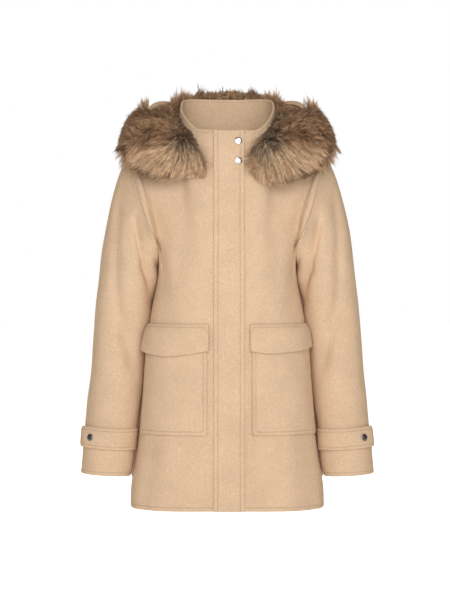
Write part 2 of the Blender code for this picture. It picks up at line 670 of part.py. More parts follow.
def body_panels():
    """Half panels by (side, behind), with the normals their walls follow."""
    panels = {}
    for side in (-1, 1):
        for behind in (False, True):
            points = half_panel(side, behind)
            panels[side, behind] = dict(
                points=points, normals=seam_normals(points, side, behind)
            )
    return panels


def build_body(panels, material):
    """The two fronts and the back, drawn in a little along each seam."""
    names = {-1: "front_right", 1: "front_left"}
    grids = {}
    for side, name in names.items():
        points, normals = (panels[side, False][key] for key in ("points", "normals"))
        cut = finish_edges(points, SEAM_GAP)
        wall(name, cut, cut - normals * CLOTH, material)
        grids[name] = cut
    halves = []
    for side in names:
        cut = finish_edges(panels[side, True]["points"], 0.0)
        halves.append((cut, panels[side, True]["normals"]))
    points = np.concatenate([halves[0][0][:, :0:-1], halves[1][0]], axis=1)
    normals = np.concatenate([halves[0][1][:, :0:-1], halves[1][1]], axis=1)
    wall("back", points, points - normals * CLOTH, material)
    grids["back"] = points
    return grids


def finish_edges(points, centre_gap):
    """Leaves room at the shoulder and side seams; the armhole already has its own."""
    cut = inset_edges(points, SEAM_GAP / 2, centre_gap, SEAM_GAP / 2)
    held = slice(-ARMHOLE_STEPS, -1)
    cut[-1, held] = points[-1, held]
    return cut


# ---- Collar -------------------------------------------------------------------------


def neck_edge(grids):
    """The body's neck edge from the left front round to the right front, with each
    point's turn from the front."""
    front, back = len(FRONT_NECK_ARCS), len(BACK_NECK_ARCS)
    left, right, rear = (grids[name][-1] for name in ("front_left", "front_right", "back"))
    middle = len(rear) // 2
    line = [left[:front], rear[middle - back + 2 : middle + back - 1][::-1], right[:front][::-1]]
    front_turns = np.linspace(0, 90, front)
    back_turns = np.linspace(90, 270, 2 * back - 1)[1:-1]
    return np.concatenate(line), np.concatenate([front_turns, back_turns, 360 - front_turns[::-1]])


def collar_grid(grids):
    """The collar's outer points, its lowest row on the body's neck edge."""
    corners, corner_turns = neck_edge(grids)
    at = np.linspace(0, len(corners) - 1, 2 * (len(corners) - 1) + 1)
    known = np.arange(len(corners))
    low = np.stack([np.interp(at, known, corners[:, k]) for k in range(3)], -1)
    turns = np.interp(at, known, corner_turns)
    folded = np.where(turns > 180, 360 - turns, turns)
    high = rim_point(folded, np.where(turns < 180, 1.0, -1.0))
    high[:, 0] += FRONT_CENTRE * np.clip(np.cos(np.radians(folded)), 0, 1) ** 2
    high[[0, -1], 0] = low[[0, -1], 0]
    low[:, 2] += SEAM_GAP
    steps = np.linspace(0, 1, 6)[:, None, None]
    lean = unit(np.stack([low[:, 0], low[:, 1] - RIM_MIDDLE_Y, np.zeros(len(low))], -1))
    swell = 0.0035 * np.sin(np.pi * steps)
    return low * (1 - steps) + high * steps + lean * swell


def build_collar(grids, material):
    points = collar_grid(grids)
    away = points - np.array([0, RIM_MIDDLE_Y, 0])
    away[..., 2] = 0
    normals = grid_normals(points, lambda p: away)
    normals[:, [0, -1], 0] = 0
    normals[0, :, 2] = 0
    normals = unit(normals)
    wall("collar", points, points - normals * DOUBLE, material)
    return points


# ---- Hood and fur -------------------------------------------------------------------


def hood_grid(tree):
    """The middle of the hood's cloth, from the neck seam row out to its mouth."""
    first = HOOD_SECTIONS[0]["turn"]
    turns = np.linspace(first, 360 - first, HOOD_COLUMNS)
    folded = np.where(turns > 180, 360 - turns, turns)
    sides = np.where(turns <= 180, 1.0, -1.0)
    seam = neck_point(folded, sides)
    angle = np.radians(folded)
    out = np.stack([sides * np.sin(angle), -np.cos(angle), np.zeros(len(turns))], -1)
    line = [seam + out * 0.0035 + np.array([0, 0, 0.0030])]
    sections = HOOD_SECTIONS + [
        {**row, "turn": 360 - row["turn"]} for row in HOOD_SECTIONS[-2::-1]
    ]
    for name in HOOD_POINTS:
        r = column_of(sections, "turn", name + "_r")(turns)[:, None]
        z = column_of(sections, "turn", name + "_z")(turns)
        point = seam + out * r
        point[:, 2] = z
        line.append(point)
    rows = [dict(at=i, x=p[:, 0], y=p[:, 1], z=p[:, 2]) for i, p in enumerate(line)]
    stations = np.linspace(0, len(line) - 1, HOOD_ROWS)
    points = np.stack([smooth_rows(rows, at) for at in stations])
    lean = 0.5 + 9 * np.maximum(-points[..., 2:], 0)
    toward = out * lean + np.array([0, 0, 1.0])
    return stand_clear(points, toward, tree, HOOD_CLEARANCE)


def smooth_rows(rows, at):
    """A smooth curve through rows of points, at one place along them."""
    i = min(int(at), len(rows) - 2)
    table = [np.stack([row[k] for k in "xyz"], -1) for row in rows]

    def slope(k):
        return (table[min(k + 1, len(table) - 1)] - table[max(k - 1, 0)]) / (
            2.0 if 0 < k < len(table) - 1 else 1.0
        )

    return hermite(table[i], table[i + 1], slope(i), slope(i + 1), at - i)


def build_hood(tree, material):
    points = hood_grid(tree)
    normals = unit(np.cross(np.gradient(points, axis=0), np.gradient(points, axis=1)))
    middle = HOOD_COLUMNS // 2
    normals[:, middle, 0] = 0
    normals = unit(normals)
    halves = {"hood_left": np.arange(0, middle + 1), "hood_right": np.arange(middle, HOOD_COLUMNS)}
    for name, columns in halves.items():
        at_first = name == "hood_right"
        cut = inset_edges(
            points[:, columns], 0.0, SEAM_GAP / 2 if at_first else 0.0,
            0.0 if at_first else SEAM_GAP / 2,
        )
        thick = normals[:, columns] * CLOTH / 2
        wall(name, cut + thick, cut - thick, material)
    return points, normals


def fur_rows():
    """The strip's sections from its right end round the back to its left end."""
    def mirrored(row):
        return {**row, "x": -row["x"], "ox": -row["ox"]}

    rows = FUR_RIGHT_END + [mirrored(row) for row in FUR_SIDE] + [FUR_BACK]
    rows = rows + FUR_SIDE[::-1] + FUR_LEFT_END[::-1]
    centres = np.array([[row["x"], row["y"], row["z"]] for row in rows])
    steps = np.linalg.norm(np.diff(centres, axis=0), axis=1)
    for row, at in zip(rows, np.concatenate([[0], np.cumsum(steps)])):
        row["at"] = at
    return [dict(row) for row in rows]


def fur_grid(tree):
    """Points round the strip, ring by ring, lumpy with locks and clear of the coat."""
    rows = fur_rows()
    length = rows[-1]["at"]
    at = np.linspace(0, length, FUR_STEPS)
    centre = point_of(rows, "at")(at)
    out = unit(point_of(rows, "at", ("ox", "oy", "oz"))(at))
    along = unit(np.gradient(centre, axis=0))
    out = unit(out - along * (out * along).sum(-1, keepdims=True))
    up = np.cross(along, out)
    across = column_of(rows, "at", "across")(at)[:, None]
    pile = column_of(rows, "at", "pile")(at)[:, None]
    close = np.minimum(at, length - at)[:, None]
    taper = 0.55 + 0.45 * np.sqrt(np.clip(close / 0.022, 0, 1))
    turn = np.linspace(0, 2 * math.pi, FUR_SIDES, endpoint=False)[None, :]
    locks = FUR_LOCK_HEIGHT * np.sin(at[:, None] * 150 + 3.0 * np.sin(turn * 2))
    locks = locks * np.clip(close / 0.03, 0, 1)
    wide = (across * taper + locks) * np.cos(turn)
    tall = (pile * taper + locks) * np.sin(turn)
    points = (
        centre[:, None]
        + out[:, None] * wide[..., None]
        + up[:, None] * tall[..., None]
    )
    inner = np.clip(-np.cos(turn), 0, 1)[..., None]
    behind = smoothstep(0.2, 0.6, out[:, None, 1:2])
    toward = up[:, None] + out[:, None] * (0.2 + 0.6 * inner - 0.7 * behind)
    return stand_clear(points, toward, tree, FUR_CLEARANCE, closed=True, fine=4)


def build_fur(tree, material):
    points = fur_grid(tree)
    rings, around = points.shape[:2]
    vertices = np.concatenate(
        [points.reshape(-1, 3), points[:1].mean(axis=1), points[-1:].mean(axis=1)]
    )
    faces = grid_faces(rings, around, 0, True)
    first, last = rings * around, rings * around + 1
    for c in range(around):
        following = (c + 1) % around
        faces.append((first, following, c))
        faces.append((last, (rings - 1) * around + c, (rings - 1) * around + following))
    new_object("fur_trim", vertices, faces, material)


# ---- What lies on the panels --------------------------------------------------------


def front_surface(grids, collar):
    """Rows of outer points across the middle of the coat, hem to collar edge, each a
    line from the wearer's right to left."""
    right, left = grids["front_right"], grids["front_left"]
    width = len(FRONT_NECK_ARCS) + 1
    rows = [
        np.concatenate([right[r, width:0:-1], left[r, :width]]) for r in range(len(right) - 1)
    ]
    reach = 6
    for row in collar:
        rows.append(np.concatenate([row[: -reach - 1 : -1][::-1], row[:reach]]))
    return [row[np.argsort(row[:, 0])] for row in rows]


def build_placket(grids, collar, tree, material):
    """A strip over the front edges, from the hem to the collar's edge."""
    offsets = np.linspace(0, 1, 7)
    rows = []
    for line in front_surface(grids, collar):
        x = PLACKET_RIGHT_X + (PLACKET_LEFT_X - PLACKET_RIGHT_X) * offsets
        y = np.interp(x, line[:, 0], line[:, 1])
        z = np.interp(x, line[:, 0], line[:, 2])
        rows.append(np.stack([x, y, z], -1))
    points = np.array(rows)
    normals = grid_normals(points, lambda p: np.broadcast_to([0, -1.0, 0.0], p.shape))
    base = stand_clear(points + normals * LAY_GAP, normals, tree, LAY_GAP)
    wall("placket", base + normals * CLOTH, base, material)
    return base + normals * CLOTH, normals


def panel_patch(panel, side, arcs, heights):
    """Points and normals on a front's own faces, at a grid of (arc, height) places."""
    away = panel * np.array([1, 1, 0])
    normals = grid_normals(panel, lambda p: away)
    rows = slice(0, LOWER_ROWS + 1)
    points, facing = np.zeros(heights.shape + (3,)), np.zeros(heights.shape + (3,))
    kept = column_arcs(False, 0.3)[: FRONT_FIXED_COLUMNS]
    step = column_arcs(False, body_ring(HEM_Z, False)[0][-1] - side * FRONT_CENTRE)
    kept = np.append(kept, step[FRONT_FIXED_COLUMNS])
    for index in np.ndindex(heights.shape):
        c = int(np.clip(np.searchsorted(kept, arcs[index] + 1e-9) - 1, 0, len(kept) - 2))
        share = (arcs[index] - kept[c]) / (kept[c + 1] - kept[c])
        line = panel[rows, c] * (1 - share) + panel[rows, c + 1] * share
        turned = normals[rows, c] * (1 - share) + normals[rows, c + 1] * share
        for k in range(3):
            points[index + (k,)] = np.interp(heights[index], line[:, 2], line[:, k])
            facing[index + (k,)] = np.interp(heights[index], line[:, 2], turned[:, k])
    return points, unit(facing)


def pocket_arcs():
    kept = FRONT_NECK_ARCS + FRONT_SHOULDER_ARCS + FRONT_FIXED_ARMHOLE_ARCS
    return np.array([a for a in kept if POCKET_IN <= a <= POCKET_OUT])


def build_pocket(panel, side, name, tree, material):
    arcs = pocket_arcs()
    levels = [z for z in lower_heights() if POCKET_BOTTOM_Z + 0.006 < z < POCKET_TOP_Z - 0.006]
    levels = np.array([POCKET_BOTTOM_Z] + levels + [POCKET_TOP_Z])
    grid_arcs, grid_z = np.meshgrid(arcs, levels)
    points, normals = panel_patch(panel, side, grid_arcs, grid_z)
    base = stand_clear(points + normals * LAY_GAP, normals, tree, LAY_GAP)
    wall(f"pocket_{name}", base + normals * DOUBLE, base, material)
    return base + normals * DOUBLE


def build_flap(panel, side, name, tree, material):
    """The flap, sewn flat along its top and standing off the pocket below it."""
    arcs = pocket_arcs()
    arcs[0] -= 0.003
    arcs[-1] += 0.003
    middle, half = (arcs[0] + arcs[-1]) / 2, (arcs[-1] - arcs[0]) / 2
    edge = FLAP_CORNER_Z + (FLAP_POINT_Z - FLAP_CORNER_Z) * (1 - np.abs(arcs - middle) / half)
    down = np.linspace(1, 0, 6)[:, None]
    heights = FLAP_TOP_Z * (1 - down) + edge[None, :] * down
    points, normals = panel_patch(panel, side, np.broadcast_to(arcs, heights.shape), heights)
    stand = LAY_GAP + (DOUBLE + 2 * LAY_GAP) * smoothstep(0.0, 0.30, down)[..., None]
    stand = stand + 0.002 * down[..., None] ** 2
    base = stand_clear(points + normals * stand, normals, tree, LAY_GAP)
    wall(f"pocket_flap_{name}", base + normals * CLOTH, base, material)
    return base + normals * CLOTH


def strap_turns():
    """Turns round the sleeve, close together at the rounded free end."""
    tab = STRAP_END_TURN + np.array([0.0, 1.5, 4.0, 8.0, 13.0])
    step = 360 / SLEEVE_COLUMNS
    rest = np.arange(math.ceil(tab[-1] / step) * step, STRAP_SEAM_TURN + 1, step)
    return np.concatenate([tab, rest])


def build_strap(side, name, tree, material):
    """A strap from the back seam under the arm to a tab on the outside of the sleeve."""
    turns = strap_turns()
    radius = 0.055
    from_end = np.radians(turns - turns[0]) * radius
    corner = 0.009
    cut = corner - np.sqrt(np.maximum(corner**2 - np.maximum(corner - from_end, 0) ** 2, 0))
    fall = STRAP_FALL * smoothstep(0, 110, turns - STRAP_END_TURN)
    high = STRAP_TOP_Z - fall - cut
    low = STRAP_TOP_Z - STRAP_DEPTH - fall + cut
    share = np.linspace(0, 1, 5)[:, None]
    heights = low * (1 - share) + high * share
    points = np.array([
        [sleeve_ring(side, heights[r, c], turns[c : c + 1])[0] for c in range(len(turns))]
        for r in range(len(heights))
    ])
    centre = np.stack(
        [side * column_of(SLEEVE_SECTIONS, "z", "x")(heights),
         column_of(SLEEVE_SECTIONS, "z", "y")(heights), heights], -1)
    normals = grid_normals(points, lambda p: p - centre)
    stand = LAY_GAP + 0.0022 * (1 - smoothstep(0, 60, turns - STRAP_END_TURN))
    base = stand_clear(points + normals * stand[None, :, None], normals, tree, LAY_GAP)
    wall(f"cuff_strap_{name}", base + normals * DOUBLE, base, material)
    at = int(np.searchsorted(turns, STRAP_STUD_TURN)) - 1
    share = (STRAP_STUD_TURN - turns[at]) / (turns[at + 1] - turns[at])
    face = base + normals * DOUBLE
    seat = face[2, at] * (1 - share) + face[2, at + 1] * share
    direction = unit(normals[2, at] * (1 - share) + normals[2, at + 1] * share)
    return seat, direction


def build_stud(name, seat, direction, material):
    """A domed press-stud cap whose flat back lies on the cloth."""
    profile = [(1.00, 0.0), (1.00, 0.38), (0.86, 0.72), (0.50, 0.95)]
    around = 16
    shape = bmesh.new()
    rings = [
        [
            shape.verts.new((
                STUD_RADIUS * r * math.cos(2 * math.pi * i / around),
                STUD_RADIUS * r * math.sin(2 * math.pi * i / around),
                STUD_HEIGHT * h,
            ))
            for i in range(around)
        ]
        for r, h in profile
    ]
    for lower, upper in zip(rings, rings[1:]):
        for i in range(around):
            following = (i + 1) % around
            shape.faces.new((lower[i], lower[following], upper[following], upper[i]))
    shape.faces.new(rings[0][::-1])
    shape.faces.new(rings[-1])
    mesh = bpy.data.meshes.new(name)
    shape.to_mesh(mesh)
    shape.free()
    mesh.shade_smooth()
    mesh.set_sharp_from_angle(angle=math.radians(50))
    mesh.materials.append(material)
    obj = bpy.data.objects.new(name, mesh)
    bpy.context.scene.collection.objects.link(obj)
    out = Vector(direction).normalized()
    obj.location = Vector(seat) + out * STUD_GAP
    obj.rotation_mode = "QUATERNION"
    obj.rotation_quaternion = out.to_track_quat("Z", "Y")


def build_front_studs(placket, normals, material):
    """Two studs near the placket's free edge."""
    for name, z in STUD_HEIGHTS.items():
        row = int(np.argmin(np.abs(placket[:, 3, 2] - z)))
        row = min(max(row, 1), len(placket) - 2)
        low, high = (row, row + 1) if placket[row, 3, 2] < z else (row - 1, row)
        share = (z - placket[low, 3, 2]) / (placket[high, 3, 2] - placket[low, 3, 2])
        line = placket[low] * (1 - share) + placket[high] * share
        facing = unit(normals[low] * (1 - share) + normals[high] * share)
        x = STUD_X
        seat = np.array([np.interp(x, line[:, 0], line[:, k]) for k in range(3)])
        direction = np.array([np.interp(x, line[:, 0], facing[:, k]) for k in range(3)])
        build_stud(name, seat, direction, material)


# ---- The coat -----------------------------------------------------------------------


def new_material(name, colour, roughness, metallic=0.0):
    material = bpy.data.materials.new(name)
    material.use_nodes = True
    shader = material.node_tree.nodes["Principled BSDF"]
    shader.inputs["Base Color"].default_value = colour
    shader.inputs["Roughness"].default_value = roughness
    shader.inputs["Metallic"].default_value = metallic
    return material


def main():
    for obj in list(bpy.data.objects):
        bpy.data.objects.remove(obj, do_unlink=True)
    cloth = new_material("wool_cloth", CAMEL, 0.9)
    pile = new_material("fur_pile", FUR_BROWN, 0.85)
    metal = new_material("polished_metal", NICKEL, 0.15, metallic=1.0)

    sides = {"right": -1, "left": 1}
    panels = body_panels()
    for name, side in sides.items():
        front, back = panels[side, False], panels[side, True]
        layers = [(front["points"], False), (back["points"], False)]
        layers.append((build_pocket(front["points"], side, name, surface_tree(layers), cloth), False))
        layers.append((build_flap(front["points"], side, name, surface_tree(layers), cloth), False))
        points, middle = sleeve_grid(side, front, back, surface_tree(layers))
        normals = fit_armhole((front, back), points, middle)
        build_sleeve(name, points, normals, cloth)
        seat, direction = build_strap(side, name, surface_tree([(points, True)]), cloth)
        build_stud(f"strap_stud_{name}", seat, direction, metal)
        panels[side, "sleeve"] = points

    grids = build_body(panels, cloth)
    coat = [(grid, False) for grid in grids.values()]
    collar = build_collar(grids, cloth)
    coat.append((collar, False))
    placket, facing = build_placket(grids, collar, surface_tree(coat), cloth)
    build_front_studs(placket, facing, metal)
    coat.append((placket, False))
    coat += [(panels[side, "sleeve"], True) for side in sides.values()]
    middle, normals = build_hood(surface_tree(coat), cloth)
    skins = [(middle + normals * CLOTH / 2, False), (middle - normals * CLOTH / 2, False)]
    build_fur(surface_tree(coat + skins), pile)


main()
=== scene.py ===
"""Looks of the hooded parka: brushed wool cloth, topstitching, press studs and a long pile.

Every cloth piece is its CAD solid made finer: the solid's faces are joined back into
quads, subdivided with creased rims, and its soft folds are added from listed tables.
"""

import math

import bmesh
import bpy
import numpy as np
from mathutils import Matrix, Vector
from mathutils.bvhtree import BVHTree


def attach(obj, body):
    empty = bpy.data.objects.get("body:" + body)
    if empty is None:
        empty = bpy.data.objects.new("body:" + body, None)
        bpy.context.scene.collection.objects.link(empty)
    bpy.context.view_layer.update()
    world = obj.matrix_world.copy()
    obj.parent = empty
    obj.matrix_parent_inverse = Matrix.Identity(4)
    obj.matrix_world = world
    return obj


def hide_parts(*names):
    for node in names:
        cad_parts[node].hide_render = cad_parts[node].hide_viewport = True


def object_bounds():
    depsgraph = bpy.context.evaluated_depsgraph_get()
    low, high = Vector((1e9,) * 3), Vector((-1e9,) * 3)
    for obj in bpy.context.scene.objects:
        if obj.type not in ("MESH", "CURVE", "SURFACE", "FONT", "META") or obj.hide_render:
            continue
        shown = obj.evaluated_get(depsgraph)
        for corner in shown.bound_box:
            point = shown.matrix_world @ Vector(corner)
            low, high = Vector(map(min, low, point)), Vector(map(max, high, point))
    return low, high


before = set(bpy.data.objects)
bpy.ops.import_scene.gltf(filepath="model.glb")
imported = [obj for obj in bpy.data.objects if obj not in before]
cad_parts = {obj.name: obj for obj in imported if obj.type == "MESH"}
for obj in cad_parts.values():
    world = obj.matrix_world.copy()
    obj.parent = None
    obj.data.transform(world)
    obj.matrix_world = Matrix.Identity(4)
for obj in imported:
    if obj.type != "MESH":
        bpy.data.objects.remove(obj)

cad_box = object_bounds()

# ---- Driving sizes, in metres -------------------------------------------------------

STITCH_LENGTH, STITCH_PITCH, STITCH_WIDTH = 0.0026, 0.0036, 0.0005
STITCH_PROUD = 0.0001  # a stitch's middle stands this far out of the cloth
CAMERA_PLACE = (-0.0042, -3.2, -0.300)
CAMERA_LENS, CAMERA_SENSOR = 101.05, 36  # in millimetres
SKY_LIGHT = (0.300, 0.258, 0.202)
PAPER_LIGHT, PAPER_WHITE = 0.16, 0.84  # what the floor gives off, and how it is seen
FLOOR_DROP, FLOOR_RADIUS = 0.10, 30  # the floor lies this far under the hem
# Lamps: where each stands, the point it faces, the side of its square, and its watts.
LAMPS = [
    dict(name="key", place=(-0.08, -3.4, 0.44), target=(0, 0, -0.28), size=2.3, power=67),
    dict(name="fill", place=(0.9, -2.9, -0.3), target=(0, 0, -0.40), size=1.6, power=12),
    dict(name="behind", place=(-0.8, 2.9, 0.9), target=(0, 0, -0.30), size=2.0, power=44),
]
WOOL_COLOUR, THREAD_COLOUR = (0.70, 0.515, 0.358), (0.60, 0.42, 0.27)
# The strap studs are the same polished metal, given a darker base colour as a painted dark
# reflection.
CHROME_COLOUR, STRAP_STUD_PAINTED_REFLECTION_COLOUR = (0.74, 0.75, 0.78), (0.17, 0.18, 0.22)

CLOTH_LEVEL, PILE_LEVEL = 2, 1  # how often a cloth piece and the trim are subdivided
WELD_GAP = 2e-6
JOIN_ANGLE, JOIN_SHAPE = 50, 80  # degrees, for joining triangles into quads
CREASE_ANGLE, CREASE = 52, 0.90  # edges that turn by more degrees than this are creased
FAR = 9.0  # further than any edge or path lies

# Cloth pieces: the cut of each, and where its topstitching runs.
# "offset" is the stitch line's distance from the edges that "edges" picks.
CLOTH = {
    "back": dict(flat=(0.50, 0.71), offset=0.0070, edges="hem"),
    "front_left": dict(flat=(0.27, 0.68), offset=0.0070, edges="hem"),
    "front_right": dict(flat=(0.27, 0.68), offset=0.0070, edges="hem"),
    "sleeve_top_left": dict(flat=(0.29, 0.62), offset=0.0070, edges="cuff"),
    "sleeve_top_right": dict(flat=(0.29, 0.62), offset=0.0070, edges="cuff"),
    "sleeve_under_left": dict(flat=(0.09, 0.42), offset=0.0070, edges="cuff"),
    "sleeve_under_right": dict(flat=(0.09, 0.42), offset=0.0070, edges="cuff"),
    "collar": dict(flat=(0.54, 0.078), offset=0.0052, edges="top"),
    "placket": dict(flat=(0.057, 0.70), offset=0.0080, edges="sides"),
    "pocket_left": dict(flat=(0.16, 0.18), offset=0.0070, edges="open"),
    "pocket_right": dict(flat=(0.16, 0.18), offset=0.0070, edges="open"),
    "pocket_flap_left": dict(flat=(0.15, 0.065), offset=0.0060, edges="upper"),
    "pocket_flap_right": dict(flat=(0.15, 0.065), offset=0.0060, edges="upper"),
    "cuff_strap_left": dict(flat=(0.21, 0.04), offset=0.0060, edges="all"),
    "cuff_strap_right": dict(flat=(0.21, 0.04), offset=0.0060, edges="all"),
    "hood_left": dict(flat=(0.26, 0.38), offset=0.0060, edges="none"),
    "hood_right": dict(flat=(0.26, 0.38), offset=0.0060, edges="none"),
}

# Soft troughs in the cloth. A path is (|x|, z) points as the trough is
# seen from the front or the back; "left" and "right" are its depth on each side.
TROUGHS = dict(
    front=[
        dict(path=[(0.118, -0.175), (0.121, -0.215), (0.116, -0.262)],
             width=0.0075, left=0.0022, right=0.0017),
        dict(path=[(0.086, -0.195), (0.090, -0.250), (0.097, -0.300), (0.112, -0.350)],
             width=0.0110, left=0.0018, right=0.0015),
        dict(path=[(0.150, -0.112), (0.128, -0.150), (0.104, -0.192)],
             width=0.0080, left=0.0020, right=0.0024),
        dict(path=[(0.092, -0.592), (0.098, -0.640), (0.094, -0.690)],
             width=0.0140, left=0.0012, right=0.0009),
        dict(path=[(0.060, -0.100), (0.070, -0.150), (0.066, -0.190)],
             width=0.0150, left=0.0010, right=0.0014),
        dict(path=[(0.040, -0.345), (0.043, -0.480), (0.039, -0.668)],
             width=0.0050, left=0.0040, right=0.0006),
    ],
    back=[
        dict(path=[(0.062, -0.120), (0.074, -0.200), (0.070, -0.310)],
             width=0.0150, left=0.0026, right=0.0021),
        dict(path=[(0.010, -0.200), (0.004, -0.320), (0.012, -0.450)],
             width=0.0170, left=0.0016, right=0.0020),
        dict(path=[(0.112, -0.390), (0.128, -0.520), (0.138, -0.670)],
             width=0.0140, left=0.0030, right=0.0024),
        dict(path=[(0.052, -0.470), (0.058, -0.570), (0.055, -0.690)],
             width=0.0140, left=0.0018, right=0.0023),
        dict(path=[(0.146, -0.125), (0.136, -0.172), (0.130, -0.228)],
             width=0.0110, left=0.0030, right=0.0036),
    ],
    sleeve_front=[
        dict(path=[(0.196, -0.068), (0.204, -0.120), (0.2085, -0.186), (0.2085, -0.262),
                   (0.204, -0.320), (0.193, -0.376), (0.180, -0.425)],
             width=0.0092, left=0.0056, right=0.0052),
        dict(path=[(0.203, -0.300), (0.190, -0.350), (0.178, -0.400), (0.173, -0.455)],
             width=0.0140, left=0.0078, right=0.0070),
        dict(path=[(0.162, -0.225), (0.151, -0.260), (0.144, -0.295), (0.142, -0.330)],
             width=0.0100, left=0.0060, right=0.0052),
        dict(path=[(0.172, -0.130), (0.166, -0.172), (0.160, -0.207), (0.149, -0.246),
                   (0.140, -0.292)],
             width=0.0066, left=0.0105, right=0.0098),
        dict(path=[(0.202, -0.536), (0.214, -0.516), (0.230, -0.506)],
             width=0.0070, left=0.0014, right=0.0018),
        dict(path=[(0.246, -0.300), (0.252, -0.400), (0.262, -0.500)],
             width=0.0090, left=0.0012, right=0.0016),
    ],
    sleeve_back=[
        dict(path=[(0.176, -0.318), (0.205, -0.334), (0.236, -0.330)],
             width=0.0080, left=0.0030, right=0.0024),
        dict(path=[(0.180, -0.362), (0.212, -0.372), (0.244, -0.362)],
             width=0.0070, left=0.0022, right=0.0027),
        dict(path=[(0.200, -0.100), (0.210, -0.190), (0.204, -0.290)],
             width=0.0100, left=0.0030, right=0.0033),
        dict(path=[(0.214, -0.420), (0.226, -0.500), (0.224, -0.560)],
             width=0.0100, left=0.0018, right=0.0015),
    ],
)
# Fullness of the fronts and the sleeve caps along the armhole, as a trough of depth below 0.
ARMHOLE = [
    dict(path=[(0.180, -0.040), (0.163, -0.085), (0.153, -0.118), (0.143, -0.153),
               (0.133, -0.188), (0.128, -0.215)],
         width=0.0085, left=-0.0108, right=-0.0108),
]
FLANK = dict(bulge=0.0095, low_bulge=0.0155, y=0.050, spread=0.026)  # of the back's sides
SLEEVE_AXIS = dict(top=0.180, bottom=0.2282, top_z=-0.10, bottom_z=-0.632, y=-0.004)
SLEEVE_MIDDLE = (0.222, -0.018)  # a point inside the sleeve's lower end, in (|x|, y)
SLEEVE_INSET = 0.0040  # the sleeve's inner side moves in by this much beside the body
SLEEVE_HEM = dict(lift=0.0045, slope=0.060, x=0.228)
HOOD_EDGE = dict(lift=0.0062, x=0.118, spread=0.046)
COLLAR_CORNER = dict(drop=0.0055, x=0.056, spread=0.017)
# The left flap's lower edge lifts towards its outer end, and the right one's moves out.
FLAP = dict(top_z=-0.346, depth=0.056, left_lift=0.0085, right_shift=0.0050)
# Slight unevenness of the cloth: its height in metres, its waves to a metre, and a seed.
RIPPLES = dict(sleeve=(0.0006, 9, 21), hood=(0.0012, 13, 23), collar=(0.0008, 11, 27),
               body=(0.0006, 8, 25))

# Which rim edges carry topstitching, from a rim point and the piece's box.
EDGES = {
    "hem": lambda p, lo, hi: p[:, 2] < lo[2] + 0.006,
    "cuff": lambda p, lo, hi: p[:, 2] < lo[2] + 0.012,
    "top": lambda p, lo, hi: p[:, 2] > 0.005,
    "sides": lambda p, lo, hi: (p[:, 0] < lo[0] + 0.004) | (p[:, 0] > hi[0] - 0.004),
    "open": lambda p, lo, hi: p[:, 2] < hi[2] - 0.006,
    "upper": lambda p, lo, hi: p[:, 2] > hi[2] - 0.006,
    "all": lambda p, lo, hi: np.ones(len(p), bool),
    "none": lambda p, lo, hi: np.zeros(len(p), bool),
}


# ---- Materials ----------------------------------------------------------------------

def node_of(tree, kind, **values):
    """A node with its inputs or settings given by name."""
    node = tree.nodes.new(kind)
    for name, value in values.items():
        if name in node.inputs:
            node.inputs[name].default_value = value
        else:
            setattr(node, name, value)
    return node


def new_material(name):
    """A material with its node tree and its shader."""
    made = bpy.data.materials.new(name)
    made.use_nodes = True
    return made, made.node_tree, made.node_tree.nodes["Principled BSDF"]


def set_inputs(shader, values):
    for name, value in values.items():
        shader.inputs[name].default_value = value


def scaled_colour(tree, colour, factor):
    node = node_of(tree, "ShaderNodeVectorMath")
    node.operation = "SCALE"
    tree.links.new(colour, node.inputs[0])
    tree.links.new(factor, node.inputs["Scale"])
    return node.outputs[0]


def noise(tree, source, scale, detail=2.0, rough=0.5, stretch=(1, 1, 1)):
    """Noise over object coordinates, in cells to a metre."""
    mapping = node_of(tree, "ShaderNodeMapping")
    mapping.inputs["Scale"].default_value = stretch
    tree.links.new(source, mapping.inputs["Vector"])
    made = node_of(tree, "ShaderNodeTexNoise", Scale=scale, Detail=detail, Roughness=rough)
    tree.links.new(mapping.outputs["Vector"], made.inputs["Vector"])
    return made.outputs["Fac"]


def map_range(tree, source, low, high, to_low, to_high, smooth=True):
    """The source taken from one range to another, and held at its ends."""
    node = node_of(tree, "ShaderNodeMapRange")
    node.interpolation_type = "SMOOTHSTEP" if smooth else "LINEAR"
    for name, value in zip(("From Min", "From Max", "To Min", "To Max"),
                           (low, high, to_low, to_high)):
        node.inputs[name].default_value = value
    tree.links.new(source, node.inputs["Value"])
    return node.outputs["Result"]


def maths(tree, operation, first, second=None):
    """An operation on sockets or plain numbers."""
    node = node_of(tree, "ShaderNodeMath")
    node.operation = operation
    for socket, value in zip(node.inputs, (first, second)):
        if value is None:
            continue
        if isinstance(value, (int, float)):
            socket.default_value = value
        else:
            tree.links.new(value, socket)
    return node.outputs[0]


def mix_colour(tree, share, first, second):
    """The first colour, and the second where share is 1. Each is a socket or a plain value."""
    node = node_of(tree, "ShaderNodeMix")
    node.data_type = "RGBA"
    sockets = [s for s in node.inputs if s.enabled]
    for socket, value in zip(sockets, (share, first, second)):
        if isinstance(value, bpy.types.NodeSocket):
            tree.links.new(value, socket)
        elif isinstance(value, (int, float)):
            socket.default_value = value
        else:
            socket.default_value = (*value, 1.0)
    return [s for s in node.outputs if s.enabled][0]


